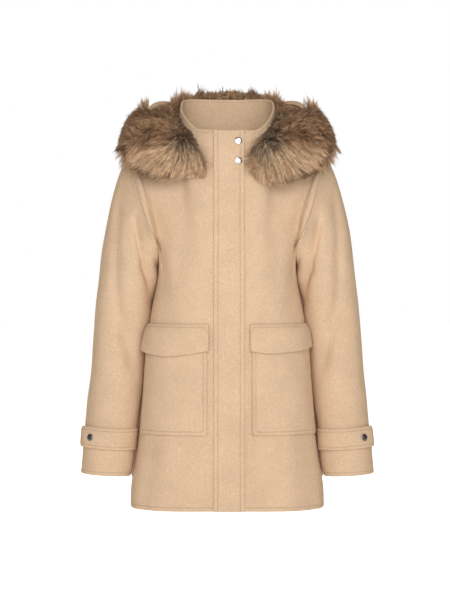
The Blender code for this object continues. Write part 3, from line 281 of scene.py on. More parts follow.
def wool_material(name, base):
    """Brushed coating cloth: mixed fibres, a soft nap, and a dip along its stitch lines, where
    painted shade darkens the colour.
    """
    made, tree, shader = new_material(name)
    coordinates = node_of(tree, "ShaderNodeTexCoord").outputs["Object"]
    light = tuple(min(1, c * 1.10 + 0.012) for c in base)
    dark = tuple(c * k for c, k in zip(base, (0.83, 0.81, 0.77)))
    fibres = noise(tree, coordinates, 620, 3, 0.65)
    strands = noise(tree, coordinates, 330, 2, 0.6, (1.0, 1.0, 0.62))
    clouds = noise(tree, coordinates, 26, 3, 0.55)
    colour = mix_colour(tree, map_range(tree, fibres, 0.36, 0.50, 1.0, 0.0), base, dark)
    colour = mix_colour(tree, map_range(tree, strands, 0.52, 0.70, 0.0, 0.75), colour, light)
    shade = map_range(tree, clouds, 0.3, 0.7, 0.965, 1.03)
    stitch = node_of(tree, "ShaderNodeAttribute", attribute_name="stitch").outputs["Fac"]
    away = maths(tree, "ABSOLUTE", maths(tree, "SUBTRACT", stitch, 1.0))
    groove_and_painted_shade = map_range(tree, away, 0.0, 0.20, 1.0, 0.0)
    # Painted shade: the colour darkens by up to 13 percent along the stitch lines, in their dip.
    shade = maths(tree, "MULTIPLY", shade, maths(tree, "SUBTRACT", 1.0,
                                                maths(tree, "MULTIPLY", groove_and_painted_shade, 0.13)))
    tree.links.new(scaled_colour(tree, colour, shade), shader.inputs["Base Color"])
    nap = maths(tree, "ADD", maths(tree, "MULTIPLY", fibres, 0.5),
                maths(tree, "MULTIPLY", strands, 0.8))
    height = maths(tree, "SUBTRACT", maths(tree, "MULTIPLY", nap, 0.45),
                   maths(tree, "MULTIPLY", groove_and_painted_shade, 0.9))
    bump = node_of(tree, "ShaderNodeBump", Strength=0.55, Distance=0.0009)
    tree.links.new(height, bump.inputs["Height"])
    tree.links.new(bump.outputs["Normal"], shader.inputs["Normal"])
    set_inputs(shader, {"Roughness": 0.94, "Specular IOR Level": 0.12, "Sheen Weight": 0.12,
                        "Sheen Roughness": 0.45, "Sheen Tint": (1.0, 0.93, 0.84, 1.0)})
    return made


def thread_material(name, base):
    """Twisted sewing thread."""
    made, tree, shader = new_material(name)
    coordinates = node_of(tree, "ShaderNodeTexCoord").outputs["Object"]
    twist = noise(tree, coordinates, 2400, 1)
    colour = mix_colour(tree, map_range(tree, twist, 0.35, 0.65, 0, 1),
                        tuple(c * 0.82 for c in base), base)
    tree.links.new(colour, shader.inputs["Base Color"])
    set_inputs(shader, {"Roughness": 0.6})
    return made


def chrome_material(name, base):
    """Polished metal with faint wear."""
    made, tree, shader = new_material(name)
    coordinates = node_of(tree, "ShaderNodeTexCoord").outputs["Object"]
    wear = noise(tree, coordinates, 900, 3)
    tree.links.new(map_range(tree, wear, 0.4, 0.75, 0.07, 0.20), shader.inputs["Roughness"])
    set_inputs(shader, {"Base Color": (*base, 1), "Metallic": 1.0})
    return made


def pile_material(name):
    """Pile that takes its colour from the strands' own attribute."""
    made, tree, shader = new_material(name)
    tone = node_of(tree, "ShaderNodeAttribute", attribute_name="pile_colour")
    coordinates = node_of(tree, "ShaderNodeTexCoord").outputs["Object"]
    mottle = map_range(tree, noise(tree, coordinates, 180, 2), 0.3, 0.7, 0.85, 1.12)
    tree.links.new(scaled_colour(tree, tone.outputs["Color"], mottle),
                   shader.inputs["Base Color"])
    set_inputs(shader, {"Roughness": 0.58, "Specular IOR Level": 0.22})
    return made


# ---- Cloth --------------------------------------------------------------------------

def smoothstep(value, low, high):
    share = np.clip((value - low) / (high - low), 0, 1)
    return share * share * (3 - 2 * share)


def unit(vectors):
    return vectors / np.maximum(np.linalg.norm(vectors, axis=-1, keepdims=True), 1e-12)


def waves(points, scale, seed):
    """A smooth field from -1 to 1, from a few sine waves in fixed directions."""
    rng = np.random.default_rng(seed)
    total = np.zeros(len(points))
    for _ in range(5):
        way = unit(rng.normal(size=3)) * scale * rng.uniform(0.6, 1.7)
        total += np.sin(points @ way * 2 * math.pi + rng.uniform(0, 7))
    return total / 2.6


def ripple(points, kind):
    height, scale, seed = RIPPLES[kind]
    return height * waves(points, scale, seed)


def hump(value, middle, spread):
    """1 at the middle, falling off to both sides."""
    return np.exp(-((value - middle) / spread) ** 2)


def coordinates_of(mesh):
    co = np.zeros(len(mesh.vertices) * 3)
    mesh.vertices.foreach_get("co", co)
    return co.reshape(-1, 3)


def normals_of(mesh):
    no = np.zeros(len(mesh.vertices) * 3)
    mesh.vertex_normals.foreach_get("vector", no)
    return no.reshape(-1, 3)


def triangles_of(mesh):
    mesh.calc_loop_triangles()
    corners = np.zeros(len(mesh.loop_triangles) * 3, int)
    mesh.loop_triangles.foreach_get("vertices", corners)
    return corners.reshape(-1, 3)


def refined(node, level):
    """The node's mesh as quads with creased rims, subdivided. Also its rim edges."""
    work = bmesh.new()
    work.from_mesh(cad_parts[node].data)
    bmesh.ops.remove_doubles(work, verts=work.verts, dist=WELD_GAP)
    bmesh.ops.join_triangles(work, faces=work.faces,
                             angle_face_threshold=math.radians(JOIN_ANGLE),
                             angle_shape_threshold=math.radians(JOIN_SHAPE))
    crease = work.edges.layers.float.new("crease_edge")
    rims = []
    for edge in work.edges:
        if len(edge.link_faces) == 2 and edge.calc_face_angle(0) > math.radians(CREASE_ANGLE):
            edge[crease] = CREASE
            rims.append([tuple(v.co) for v in edge.verts])
    mesh = bpy.data.meshes.new(node + ".base")
    work.to_mesh(mesh)
    work.free()
    base = bpy.data.objects.new(node + ".base", mesh)
    bpy.context.scene.collection.objects.link(base)
    finer = base.modifiers.new("finer", "SUBSURF")
    finer.levels = finer.render_levels = level
    finer.boundary_smooth = "ALL"
    graph = bpy.context.evaluated_depsgraph_get()
    fine = bpy.data.meshes.new_from_object(base.evaluated_get(graph))
    bpy.data.objects.remove(base)
    fine.name = node + ".cloth"
    return fine, np.array(rims)


def edge_distance(points, edges):
    """Each point's distance to the nearest of some edges."""
    best = np.full(len(points), FAR)
    for a, b in edges:
        along = b - a
        share = np.clip((points - a) @ along / max(along @ along, 1e-12), 0, 1)
        gap = np.linalg.norm(points - a - share[:, None] * along, axis=1)
        best = np.minimum(best, gap)
    return best


def make_object(name, mesh, material, slot, *replaced):
    """A smooth piece that rides the body, in place of the named solids. The slot is not used."""
    mesh.materials.clear()
    mesh.materials.append(material)
    mesh.polygons.foreach_set("use_smooth", [True] * len(mesh.polygons))
    made = bpy.data.objects.new(name, mesh)
    bpy.context.scene.collection.objects.link(made)
    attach(made, "root")
    if replaced:
        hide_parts(*replaced)
    return made


def trough_depth(points, troughs):
    """How deep the troughs are at each point, seen along y."""
    total = np.zeros(len(points))
    spot = np.stack([np.abs(points[:, 0]), points[:, 2]], -1)
    for trough in troughs:
        path = np.array(trough["path"])
        lengths = np.linalg.norm(np.diff(path, axis=0), axis=1)
        reached = np.concatenate([[0], np.cumsum(lengths)])
        best, at = np.full(len(points), FAR), np.zeros(len(points))
        for a, b, start, length in zip(path, path[1:], reached, lengths):
            share = np.clip((spot - a) @ (b - a) / length ** 2, 0, 1)
            gap = np.linalg.norm(spot - a - share[:, None] * (b - a), axis=1)
            nearer = gap < best
            best = np.where(nearer, gap, best)
            at = np.where(nearer, (start + share * length) / reached[-1], at)
        fade = smoothstep(at, 0.0, 0.22) * smoothstep(at, 1.0, 0.74)
        depth = np.where(points[:, 0] > 0, trough["left"], trough["right"])
        total += depth * fade * np.exp(-(best / trough["width"]) ** 2)
    return total


def folded(points, node):
    """A piece's points with the cloth's folds, fullness and set added."""
    moved = points.copy()
    side = np.sign(points[:, 0])
    x, y, z = np.abs(points[:, 0]), points[:, 1], points[:, 2]
    before, behind = smoothstep(y, 0.014, -0.014), smoothstep(y, -0.014, 0.014)
    if node.startswith(("sleeve", "cuff")):
        axis = SLEEVE_AXIS
        share = np.clip((z - axis["top_z"]) / (axis["bottom_z"] - axis["top_z"]), 0, 1)
        middle = axis["top"] + (axis["bottom"] - axis["top"]) * share
        away = unit(np.stack([side * (x - middle), y - axis["y"], 0 * x], -1))
        sunk = (trough_depth(points, TROUGHS["sleeve_front"]) * before
                + trough_depth(points, TROUGHS["sleeve_back"]) * behind)
        sunk += ripple(points, "sleeve")
        moved -= away * sunk[:, None]
        moved[:, 1] += trough_depth(points, ARMHOLE) * before
        inner = smoothstep(z, -0.560, -0.615) * smoothstep(middle - x, 0.0, 0.03)
        inner += (smoothstep(z, -0.235, -0.265) * smoothstep(z, -0.385, -0.330)
                  * smoothstep(middle - x, 0.010, 0.035))
        moved[:, 0] -= side * SLEEVE_INSET * inner
        low = smoothstep(z, -0.585, axis["bottom_z"])
        moved[:, 2] += low * (SLEEVE_HEM["lift"] + SLEEVE_HEM["slope"] * (x - SLEEVE_HEM["x"]))
    elif node.startswith("hood"):
        moved[:, 2] += ripple(points, "hood")
        moved[:, 2] += (HOOD_EDGE["lift"] * hump(x, HOOD_EDGE["x"], HOOD_EDGE["spread"])
                        * smoothstep(z, 0.010, 0.070))
    elif node == "collar":
        moved += unit(points * (1, 1, 0)) * ripple(points, "collar")[:, None]
        corner = hump(x, COLLAR_CORNER["x"], COLLAR_CORNER["spread"])
        moved[:, 2] -= (COLLAR_CORNER["drop"] * corner * smoothstep(y, 0.0, -0.03)
                        * smoothstep(z, -0.035, -0.005))
    else:
        sunk = (trough_depth(points, TROUGHS["front"]) * before
                - trough_depth(points, TROUGHS["back"]) * behind)
        moved[:, 1] += sunk + ripple(points, "body")
        if node.startswith("front"):
            moved[:, 1] += trough_depth(points, ARMHOLE) * before
        full = (smoothstep(z, -0.225, -0.272) * smoothstep(z, -0.650, -0.620)
                * hump(y, FLANK["y"], FLANK["spread"]) * smoothstep(x, 0.09, 0.13))
        bulge = FLANK["bulge"] + (FLANK["low_bulge"] - FLANK["bulge"]) * smoothstep(
            z, -0.455, -0.490)
        moved[:, 0] += side * bulge * full
        if node.startswith("pocket_flap"):
            share = np.clip((FLAP["top_z"] - z) / FLAP["depth"], 0, 1)
            if node.endswith("right"):
                shift = side * FLAP["right_shift"]
                moved[:, 0] += shift * share * smoothstep(x, 0.135, 0.155)
            else:
                moved[:, 2] += FLAP["left_lift"] * share * smoothstep(x, 0.070, 0.125)
    return moved


def contours(mesh, values, centre):
    """Lines where values pass 1 on the outer side of a wall: points and normals."""
    corners = triangles_of(mesh)
    points, normals = coordinates_of(mesh), normals_of(mesh)
    out = points[corners].mean(1) - (*centre, 0)
    facing = (normals[corners].mean(1)[:, :2] * out[:, :2]).sum(1) > 0
    above = values[corners] > 1
    mixed = corners[facing & above.any(1) & ~above.all(1)]
    place, joined = {}, {}
    for corner in mixed:
        ends = []
        for a, b in ((0, 1), (1, 2), (2, 0)):
            i, j = sorted((int(corner[a]), int(corner[b])))
            if (values[i] > 1) != (values[j] > 1):
                share = (1 - values[i]) / (values[j] - values[i])
                place[i, j] = (points[i] + share * (points[j] - points[i]),
                               normals[i] + share * (normals[j] - normals[i]))
                ends.append((i, j))
        for a, b in (ends, ends[::-1]):
            joined.setdefault(a, []).append(b)
    lines, seen = [], set()
    for start in sorted(joined, key=lambda key: len(joined[key])):
        if start in seen:
            continue
        chain, key = [], start
        while key is not None:
            seen.add(key)
            chain.append(key)
            key = next((k for k in joined[key] if k not in seen), None)
        if len(chain) > 3:
            lines.append([np.array(part) for part in zip(*(place[k] for k in chain))])
    return lines


def stitches(name, lines, material):
    """Thread stitches laid along lines: spindles that lie half in the cloth."""
    rng = np.random.default_rng(5)
    corners, faces = [], []
    ring = [(math.cos(t), math.sin(t)) for t in (0.5, 2.6, 4.7)]
    for points, normals in lines:
        reached = np.concatenate([[0], np.cumsum(np.linalg.norm(np.diff(points, axis=0),
                                                                 axis=1))])
        for at in np.arange(STITCH_PITCH / 2, reached[-1] - STITCH_PITCH / 2, STITCH_PITCH):
            place = np.array([np.interp(at, reached, points[:, k]) for k in range(3)])
            ahead = np.array([np.interp(at + 0.001, reached, points[:, k]) for k in range(3)])
            up = unit(np.array([np.interp(at, reached, normals[:, k]) for k in range(3)]))
            way = unit(ahead - place + rng.normal(size=3) * 0.00003)
            across = unit(np.cross(up, way))
            place = place + up * STITCH_PROUD
            first = len(corners)
            corners.append(place - way * STITCH_LENGTH / 2)
            for c, n in ring:
                corners.append(place + (across * c + up * n) * STITCH_WIDTH / 2)
            corners.append(place + way * STITCH_LENGTH / 2)
            for k in range(3):
                a, b = first + 1 + k, first + 1 + (k + 1) % 3
                faces += [(first, b, a), (first + 4, a, b)]
    mesh = bpy.data.meshes.new(name)
    mesh.from_pydata([tuple(c) for c in corners], [], faces)
    return make_object(name, mesh, material, "wool_cloth")


def cloth_piece(node, material, flat, offset, edges):
    """Dresses a cloth solid, and gives the lines that its topstitching follows."""
    mesh, rims = refined(node, CLOTH_LEVEL)
    points = coordinates_of(mesh)
    lo, hi = points.min(0), points.max(0)
    picked = rims[EDGES[edges](rims.mean(1), lo, hi)] if len(rims) else rims
    distance = (edge_distance(points, picked) / offset if len(picked)
                else np.full(len(points), FAR))
    mesh.attributes.new("stitch", "FLOAT", "POINT").data.foreach_set(
        "value", np.minimum(distance, FAR).astype(np.float32))
    mesh.vertices.foreach_set("co", folded(points, node).ravel())
    mesh.update()
    side = 1 if node.endswith("left") else -1
    centre = (0, 0)
    if node.startswith(("sleeve", "cuff")):
        centre = (side * SLEEVE_MIDDLE[0], SLEEVE_MIDDLE[1])
    lines = contours(mesh, distance, centre) if len(picked) else []
    made = make_object(node + ".cloth", mesh, material, "wool_cloth", node)
    return lines


# ---- Pile ---------------------------------------------------------------------------

PILE_SEED = 11
CLUMPS, STRANDS = 9700, 13  # clumps over the whole trim, strands in each
PILE_PIECES = 4
PILE_DEPTH = 0.009  # roots lie this far under the trim's outline
BACKING_DEPTH, BACKING_WAVE = PILE_DEPTH * 0.85, 0.0018
STRAND_WIDTH = 0.00052
CLUMP_RADIUS = 0.0019
PILE_LENGTH, LOW_LENGTH = 0.015, 0.017  # of a clump, and what is added low in front
STRAY_CLUMPS = 0.13  # the share of clumps that stand out of the pile
STRAY_REACH = 0.0065
TIP_LIMIT = 0.0022  # other tips are drawn back to about this far from the outline
DARK_TIPS, DARK_EDGE_TIPS = 0.07, 0.45  # share of dark tips, and what the lower edge adds
FAN_X, FAN_Z = 0.058, 0.030  # the front pile fans out from here, on each side
FAN_Y = -0.012  # and leans forward by this much
CURL_LOW, CURL_HIGH = 0.30, 0.75  # how far the pile turns off that way, and what is added high up
PILE_TONES = dict(
    black=(0.046, 0.031, 0.023), dark=(0.160, 0.092, 0.053), grey=(0.235, 0.178, 0.130),
    brown=(0.370, 0.218, 0.124), russet=(0.600, 0.340, 0.190), tan=(0.680, 0.435, 0.250),
    cream=(0.900, 0.640, 0.400), pale=(1.000, 0.860, 0.680),
)
# Patches of the front pile: middle and half size in (|x|, z), the tones of its darkest
# and lightest clumps, how far the patch outweighs its neighbours, and its pale hairs.
PATCHES = [
    dict(x=0.105, z=-0.050, wide=0.075, high=0.034, low="brown", high_tone="cream",
         weight=1.0, hairs=0.14),
    dict(x=0.070, z=0.010, wide=0.017, high=0.028, low="black", high_tone="grey",
         weight=4.0, hairs=0.17),
    dict(x=0.127, z=0.006, wide=0.036, high=0.012, low="dark", high_tone="russet",
         weight=3.5, hairs=0.03),
    dict(x=0.122, z=0.029, wide=0.046, high=0.010, low="brown", high_tone="tan",
         weight=3.0, hairs=0.05),
    dict(x=0.108, z=0.052, wide=0.040, high=0.013, low="dark", high_tone="brown",
         weight=4.0, hairs=0.05),
    dict(x=0.168, z=0.030, wide=0.020, high=0.030, low="dark", high_tone="russet",
         weight=2.5, hairs=0.04),
    dict(x=0.194, z=-0.036, wide=0.012, high=0.020, low="black", high_tone="brown",
         weight=5.0, hairs=0.00),
    dict(x=0.150, z=-0.074, wide=0.032, high=0.009, low="dark", high_tone="brown",
         weight=4.0, hairs=0.02),
]
BACK_PATCH = dict(low="brown", high_tone="tan", hairs=0.06)
# Locks that stand out of the trim's outline or lie over its edges. A lock's clumps start
# along "path" and reach "to", both in metres, on each side; its strands close in towards
# their tips by "gather", "bend" bows them and "stray" turns its clumps apart. "spread" is
# how far its feet lie off the path, and "hairs" its share of pale strands. "side" keeps a
# lock to one side: 1 is the wearer's left.
LOCKS = [
    # Beside the collar, from its rim outward over the chest.
    dict(path=[(0.0965, -0.048, 0.040), (0.0910, -0.056, 0.034), (0.0830, -0.068, 0.022),
               (0.0675, -0.088, 0.0055), (0.0570, -0.095, -0.014)],
         to=[(0.0120, -0.022, -0.002), (0.0150, -0.030, 0.000), (0.0190, -0.036, -0.004),
             (0.0180, -0.042, -0.010), (0.0080, -0.040, -0.018)],
         clumps=150, spread=0.0019, gather=0.3, foot="grey", tip="brown", hairs=0.22),
    # Over the shoulder, below the outer end of the lobe.
    dict(path=[(0.191, -0.098, -0.018), (0.185, -0.105, -0.031), (0.168, -0.110, -0.044)],
         to=[(0.0110, 0.040, -0.024), (0.0110, 0.040, -0.024), (0.0060, 0.034, -0.019)],
         clumps=60, spread=0.0045, gather=0.4, foot="tan", tip="dark", hairs=0.05),
    # The crown behind the collar's ends.
    dict(path=[(0.103, 0.058, 0.074), (0.088, 0.066, 0.080), (0.073, 0.072, 0.083)],
         to=[(0.0050, 0.004, 0.020), (0.0020, 0.004, 0.030), (-0.0030, 0.004, 0.025)],
         clumps=80, spread=0.0042, gather=0.6, foot="brown", tip="tan", hairs=0.06),
    # One long lock that bows over from there.
    dict(path=[(0.073, 0.062, 0.078), (0.063, 0.066, 0.082)],
         to=[(-0.0300, 0.006, 0.040), (-0.0220, 0.006, 0.034)], bend=(-0.004, 0, -0.006),
         clumps=44, spread=0.0026, gather=0.8, foot="brown", tip="dark", hairs=0.04,
         stray=0.04),
    # The outer corner of the crown.
    dict(path=[(0.168, 0.008, 0.058), (0.152, 0.010, 0.064)],
         to=[(0.0020, 0.0, 0.025), (-0.0010, 0.0, 0.021)],
         clumps=34, spread=0.0032, gather=0.6, foot="brown", tip="tan", hairs=0.04),
    # A spike at the widest place.
    dict(path=[(0.190, -0.092, -0.008), (0.193, -0.088, -0.014)],
         to=[(0.0210, 0.010, -0.022), (0.0190, 0.010, -0.018)],
         clumps=24, spread=0.0024, gather=0.85, foot="brown", tip="black", hairs=0.0,
         stray=0.05),
    # Wisps over the crown at the back of the neck.
    dict(path=[(0.050, 0.092, 0.094), (0.030, 0.104, 0.098), (0.004, 0.110, 0.099)],
         to=[(0.0020, 0.004, 0.016), (0.0030, 0.004, 0.018), (-0.0020, 0.004, 0.018)],
         clumps=24, spread=0.0050, gather=0.5, foot="brown", tip="dark", hairs=0.04),
    # Hairs that reach over the front beside the placket, further on the wearer's left.
    dict(path=[(0.068, -0.112, -0.004), (0.058, -0.124, -0.028), (0.056, -0.126, -0.056)],
         to=[(-0.0250, 0.004, -0.012), (-0.0260, 0.012, -0.006), (-0.0200, 0.012, -0.014)],
         clumps=70, spread=0.0042, gather=0.4, foot="brown", tip="tan", hairs=0.25, side=1),
]
LOCK_STRANDS, LOCK_STRAY = 13, 0.12
LOCK_RADIUS = 0.0013  # of a lock's clump at its foot
# How far the trim's outline is moved, by part, in metres. "flat" is a share of depth.
SETTLE = dict(crown=0.0075, ends=0.0085, inner=0.0050, outer=0.0050, shoulder=(0.004, 0.011),
              upper=0.0050, flat=0.36, neck=0.0045, neck_peak=0.0050)


def tone_mix(first, second, share):
    return first + (second - first) * np.asarray(share)[..., None]


def settled(points):
    """The trim's outline with its crown and lower ends brought to the pile's lie."""
    moved = points.copy()
    side = np.sign(points[:, 0])
    x, y, z = np.abs(points[:, 0]), points[:, 1], points[:, 2]
    front = smoothstep(y, 0.060, 0.020)
    crown = smoothstep(z, 0.035, 0.070) * smoothstep(x, 0.175, 0.150) * front
    moved[:, 2] -= SETTLE["crown"] * crown
    ends = smoothstep(z, -0.035, -0.085) * smoothstep(x, 0.105, 0.075) * front
    moved[:, 2] += SETTLE["ends"] * ends
    moved[:, 0] += side * SETTLE["inner"] * smoothstep(x, 0.060, 0.035) * front
    outer = (smoothstep(z, -0.030, -0.065) * smoothstep(x, 0.120, 0.140)
             * smoothstep(x, 0.195, 0.170) * front)
    moved[:, 2] -= SETTLE["outer"] * outer
    shoulder = hump(x, 0.188, 0.022) * smoothstep(z, 0.005, -0.025) * front
    moved[:, 1:] -= np.array(SETTLE["shoulder"]) * shoulder[:, None]
    upper = smoothstep(x, 0.160, 0.190) * smoothstep(z, 0.000, 0.020) * front
    moved[:, 0] -= side * SETTLE["upper"] * upper
    flat = smoothstep(z, -0.010, -0.070) * smoothstep(y, -0.090, -0.100)
    moved[:, 1] -= SETTLE["flat"] * (y + 0.090) * flat
    neck = smoothstep(y, 0.035, 0.065) * smoothstep(z, 0.040, 0.075)
    moved[:, 2] += (SETTLE["neck"] + SETTLE["neck_peak"] * hump(x, 0.088, 0.018)) * neck
    return moved


def flow_at(points, normals):
    """The way the pile lies: it fans out over the chest and falls back behind the neck."""
    side = np.where(points[:, 0] < 0, -1.0, 1.0)
    x, z = np.abs(points[:, 0]), points[:, 2]
    front = smoothstep(points[:, 1], 0.055, -0.015)[:, None]
    before = np.stack([side * (x - FAN_X), np.full(len(x), FAN_Y), z - FAN_Z], -1)
    behind = np.stack([points[:, 0] * 4.0, np.full(len(x), 0.9), np.full(len(x), -0.5)], -1)
    lie = unit(before) * front + unit(behind) * (1 - front)
    lie = unit(lie - normals * (lie * normals).sum(1)[:, None])
    across = np.cross(normals, lie)
    curl = CURL_LOW + CURL_HIGH * smoothstep(z, -0.012, 0.016)
    turn = curl * (0.75 * waves(points, 15, 3) + 0.45 * waves(points, 36, 4))
    return unit(lie * np.cos(turn)[:, None] + across * np.sin(turn)[:, None])


def pile_tones(points):
    """The darkest and lightest tone round each point, and its share of pale hairs."""
    tones = {name: np.array(value) for name, value in PILE_TONES.items()}
    x, y, z = np.abs(points[:, 0]), points[:, 1], points[:, 2]
    front = smoothstep(y, 0.060, 0.010)
    wander = 0.006 * waves(points, 20, 8)
    total = np.zeros(len(points))
    low, high = np.zeros((len(points), 3)), np.zeros((len(points), 3))
    hairs = np.zeros(len(points))
    for patch in PATCHES:
        off = (((x + wander - patch["x"]) / patch["wide"]) ** 2
               + ((z + wander - patch["z"]) / patch["high"]) ** 2)
        weight = patch["weight"] * np.exp(-off) + 1e-6
        total += weight
        low += weight[:, None] * tones[patch["low"]]
        high += weight[:, None] * tones[patch["high_tone"]]
        hairs += weight * patch["hairs"]
    low, high, hairs = low / total[:, None], high / total[:, None], hairs / total
    low = tone_mix(tones[BACK_PATCH["low"]], low, front)
    high = tone_mix(tones[BACK_PATCH["high_tone"]], high, front)
    return low, high, BACK_PATCH["hairs"] + (hairs - BACK_PATCH["hairs"]) * front


def strand_mesh(name, paths, widths, across, colours):
    """Ribbons along three-segment paths, each ending in a point."""
    count = len(paths)
    half = across * widths[:, None] / 2
    taper = (1.0, 0.9, 0.6)
    rows = []
    for row in range(3):
        rows += [paths[:, row] - half * taper[row], paths[:, row] + half * taper[row]]
    corners = np.stack(rows + [paths[:, 3]], 1).reshape(-1, 3)
    shades = colours[:, [0, 0, 1, 1, 2, 2, 3]].reshape(-1, 3)
    pattern = np.array([(0, 1, 3), (0, 3, 2), (2, 3, 5), (2, 5, 4), (4, 5, 6)])
    faces = (np.arange(count)[:, None, None] * 7 + pattern).reshape(-1, 3)
    mesh = bpy.data.meshes.new(name)
    mesh.vertices.add(len(corners))
    mesh.vertices.foreach_set("co", corners.ravel())
    mesh.loops.add(faces.size)
    mesh.loops.foreach_set("vertex_index", faces.ravel())
    mesh.polygons.add(len(faces))
    mesh.polygons.foreach_set("loop_start", np.arange(0, faces.size, 3))
    mesh.update(calc_edges=True)
    paint(mesh, shades)
    return mesh


def paint(mesh, shades):
    """Keeps a colour for each point in the mesh's own attribute."""
    layer = mesh.color_attributes.new("pile_colour", "FLOAT_COLOR", "POINT")
    layer.data.foreach_set("color", np.concatenate(
        [shades, np.ones((len(shades), 1))], 1).astype(np.float32).ravel())


def surface_samples(mesh, count, rng):
    """Random points of a surface with their normals, evenly spread over its area."""
    corners = triangles_of(mesh)
    points, normals = coordinates_of(mesh), normals_of(mesh)
    a, b, c = (points[corners[:, k]] for k in range(3))
    area = np.linalg.norm(np.cross(b - a, c - a), axis=1)
    picked = rng.choice(len(corners), count, p=area / area.sum())
    share = rng.random((count, 2))
    share = np.where(share.sum(1, keepdims=True) > 1, 1 - share, share)
    weights = np.concatenate([1 - share.sum(1, keepdims=True), share], 1)[:, :, None]
    return ((points[corners[picked]] * weights).sum(1),
            unit((normals[corners[picked]] * weights).sum(1)))


def pulled_in(tips, tree, limit, share):
    """Tips that stand further out than limit are drawn back towards the surface."""
    for i, tip in enumerate(tips):
        near, normal, _, gap = tree.find_nearest(Vector(tip))
        out = np.array(tip) - np.array(near)
        if out @ np.array(normal) > 0 and gap > limit:
            tips[i] -= out * (1 - limit / gap) * share
    return tips


def curves(starts, knees, tips):
    """Paths of four points that bend from starts over knees to tips."""
    along = np.linspace(0, 1, 4)[None, :, None]
    return ((1 - along) ** 2 * starts[:, None] + 2 * along * (1 - along) * knees[:, None]
            + along ** 2 * tips[:, None])


def pile_clumps(mesh, tree, rng):
    """Where each clump of the trim grows, the normal there, and where it reaches."""
    points, normals = surface_samples(mesh, CLUMPS, rng)
    x, y, z = np.abs(points[:, 0]), points[:, 1], points[:, 2]
    lie = flow_at(points, normals)
    front = smoothstep(y, 0.05, -0.02)
    low = smoothstep(z, 0.012, -0.020) * front
    length = (PILE_LENGTH + LOW_LENGTH * low) * rng.uniform(0.7, 1.3, CLUMPS)
    length *= 1 - 0.35 * smoothstep(x, 0.060, 0.040) * front
    stray = (rng.random(CLUMPS) < STRAY_CLUMPS) * rng.uniform(0.3, 1.0, CLUMPS)
    top = smoothstep(y, 0.045, 0.075) * smoothstep(normals[:, 2], 0.2, 0.7)
    aim = lie + normals * (0.10 + 0.50 * stray)[:, None]
    aim[:, 2] += 0.9 * top * (stray > 0)
    aim = unit(aim + rng.normal(size=(CLUMPS, 3)) * 0.12)
    ends = pulled_in(points + aim * length[:, None], tree, TIP_LIMIT, 0.85)
    return points, normals, ends + aim * (stray * STRAY_REACH)[:, None]


def pile_colours(points, clump, pale, dark, light, rng):
    """Four colours along each strand, from its root to its tip, with painted shade darkening the
    root end.
    """
    count = len(clump)
    share = rng.beta(0.9, 1.0, CLUMPS)
    middle = tone_mix(dark, light, share)[clump]
    last = tone_mix(dark, light, np.clip(share + 0.28, 0, 1.15))[clump]
    shade = rng.uniform(0.78, 1.22, (count, 1))
    edge = (smoothstep(points[:, 2], -0.034, -0.056)[clump]
            * smoothstep(np.abs(points[:, 0]), 0.075, 0.120)[clump])
    tones = {name: np.array(value) for name, value in PILE_TONES.items()}
    dark_tip = rng.random(count) < DARK_TIPS + DARK_EDGE_TIPS * edge
    last = np.where(dark_tip[:, None], tones["dark"], last)
    middle = np.where(pale[:, None], tones["cream"], middle)
    last = np.where(pale[:, None], tones["pale"], last)
    # Painted shade: the roots are mostly black, as the shade deep in the pile.
    root = tone_mix(tones["black"], middle, np.full(count, 0.22))
    return np.stack([root * shade, tone_mix(root, middle, np.full(count, 0.75)) * shade,
                     middle * shade, last * shade], 1)


def pile_strands(mesh, tree):
    """All strands of the trim: paths of four points, widths, ribbon sides and colours."""
    rng = np.random.default_rng(PILE_SEED)
    points, normals, ends = pile_clumps(mesh, tree, rng)
    dark, light, hairs = pile_tones(points)
    clump = np.repeat(np.arange(CLUMPS), STRANDS)
    count = len(clump)
    offset = rng.normal(size=(count, 3)) * CLUMP_RADIUS
    offset -= normals[clump] * (offset * normals[clump]).sum(1)[:, None]
    sunk = rng.uniform(0.0, 0.0025, CLUMPS)[clump, None]
    starts = points[clump] + offset - normals[clump] * PILE_DEPTH
    gather = rng.uniform(0.05, 0.50, (count, 1))
    tips = ends[clump] + offset * gather - normals[clump] * sunk
    tips += rng.normal(size=(count, 3)) * 0.0008
    pale = rng.random(count) < hairs[clump]
    reach = rng.uniform(0.60, 1.03, (count, 1)) + 0.10 * pale[:, None]
    tips = starts + (tips - starts) * reach
    lift = normals[clump] * (PILE_DEPTH * rng.uniform(0.9, 1.3, (count, 1)) - sunk)
    paths = curves(starts, starts + lift + (tips - starts) * 0.28, tips)
    paths[:, 2] += rng.normal(size=(count, 3)) * 0.0006
    side = unit(np.cross(tips - starts, normals[clump] + rng.normal(size=(count, 3)) * 0.45))
    widths = STRAND_WIDTH * rng.uniform(0.6, 1.35, count) * np.where(pale, 0.9, 1.0)
    return paths, widths, side, pile_colours(points, clump, pale, dark, light, rng)


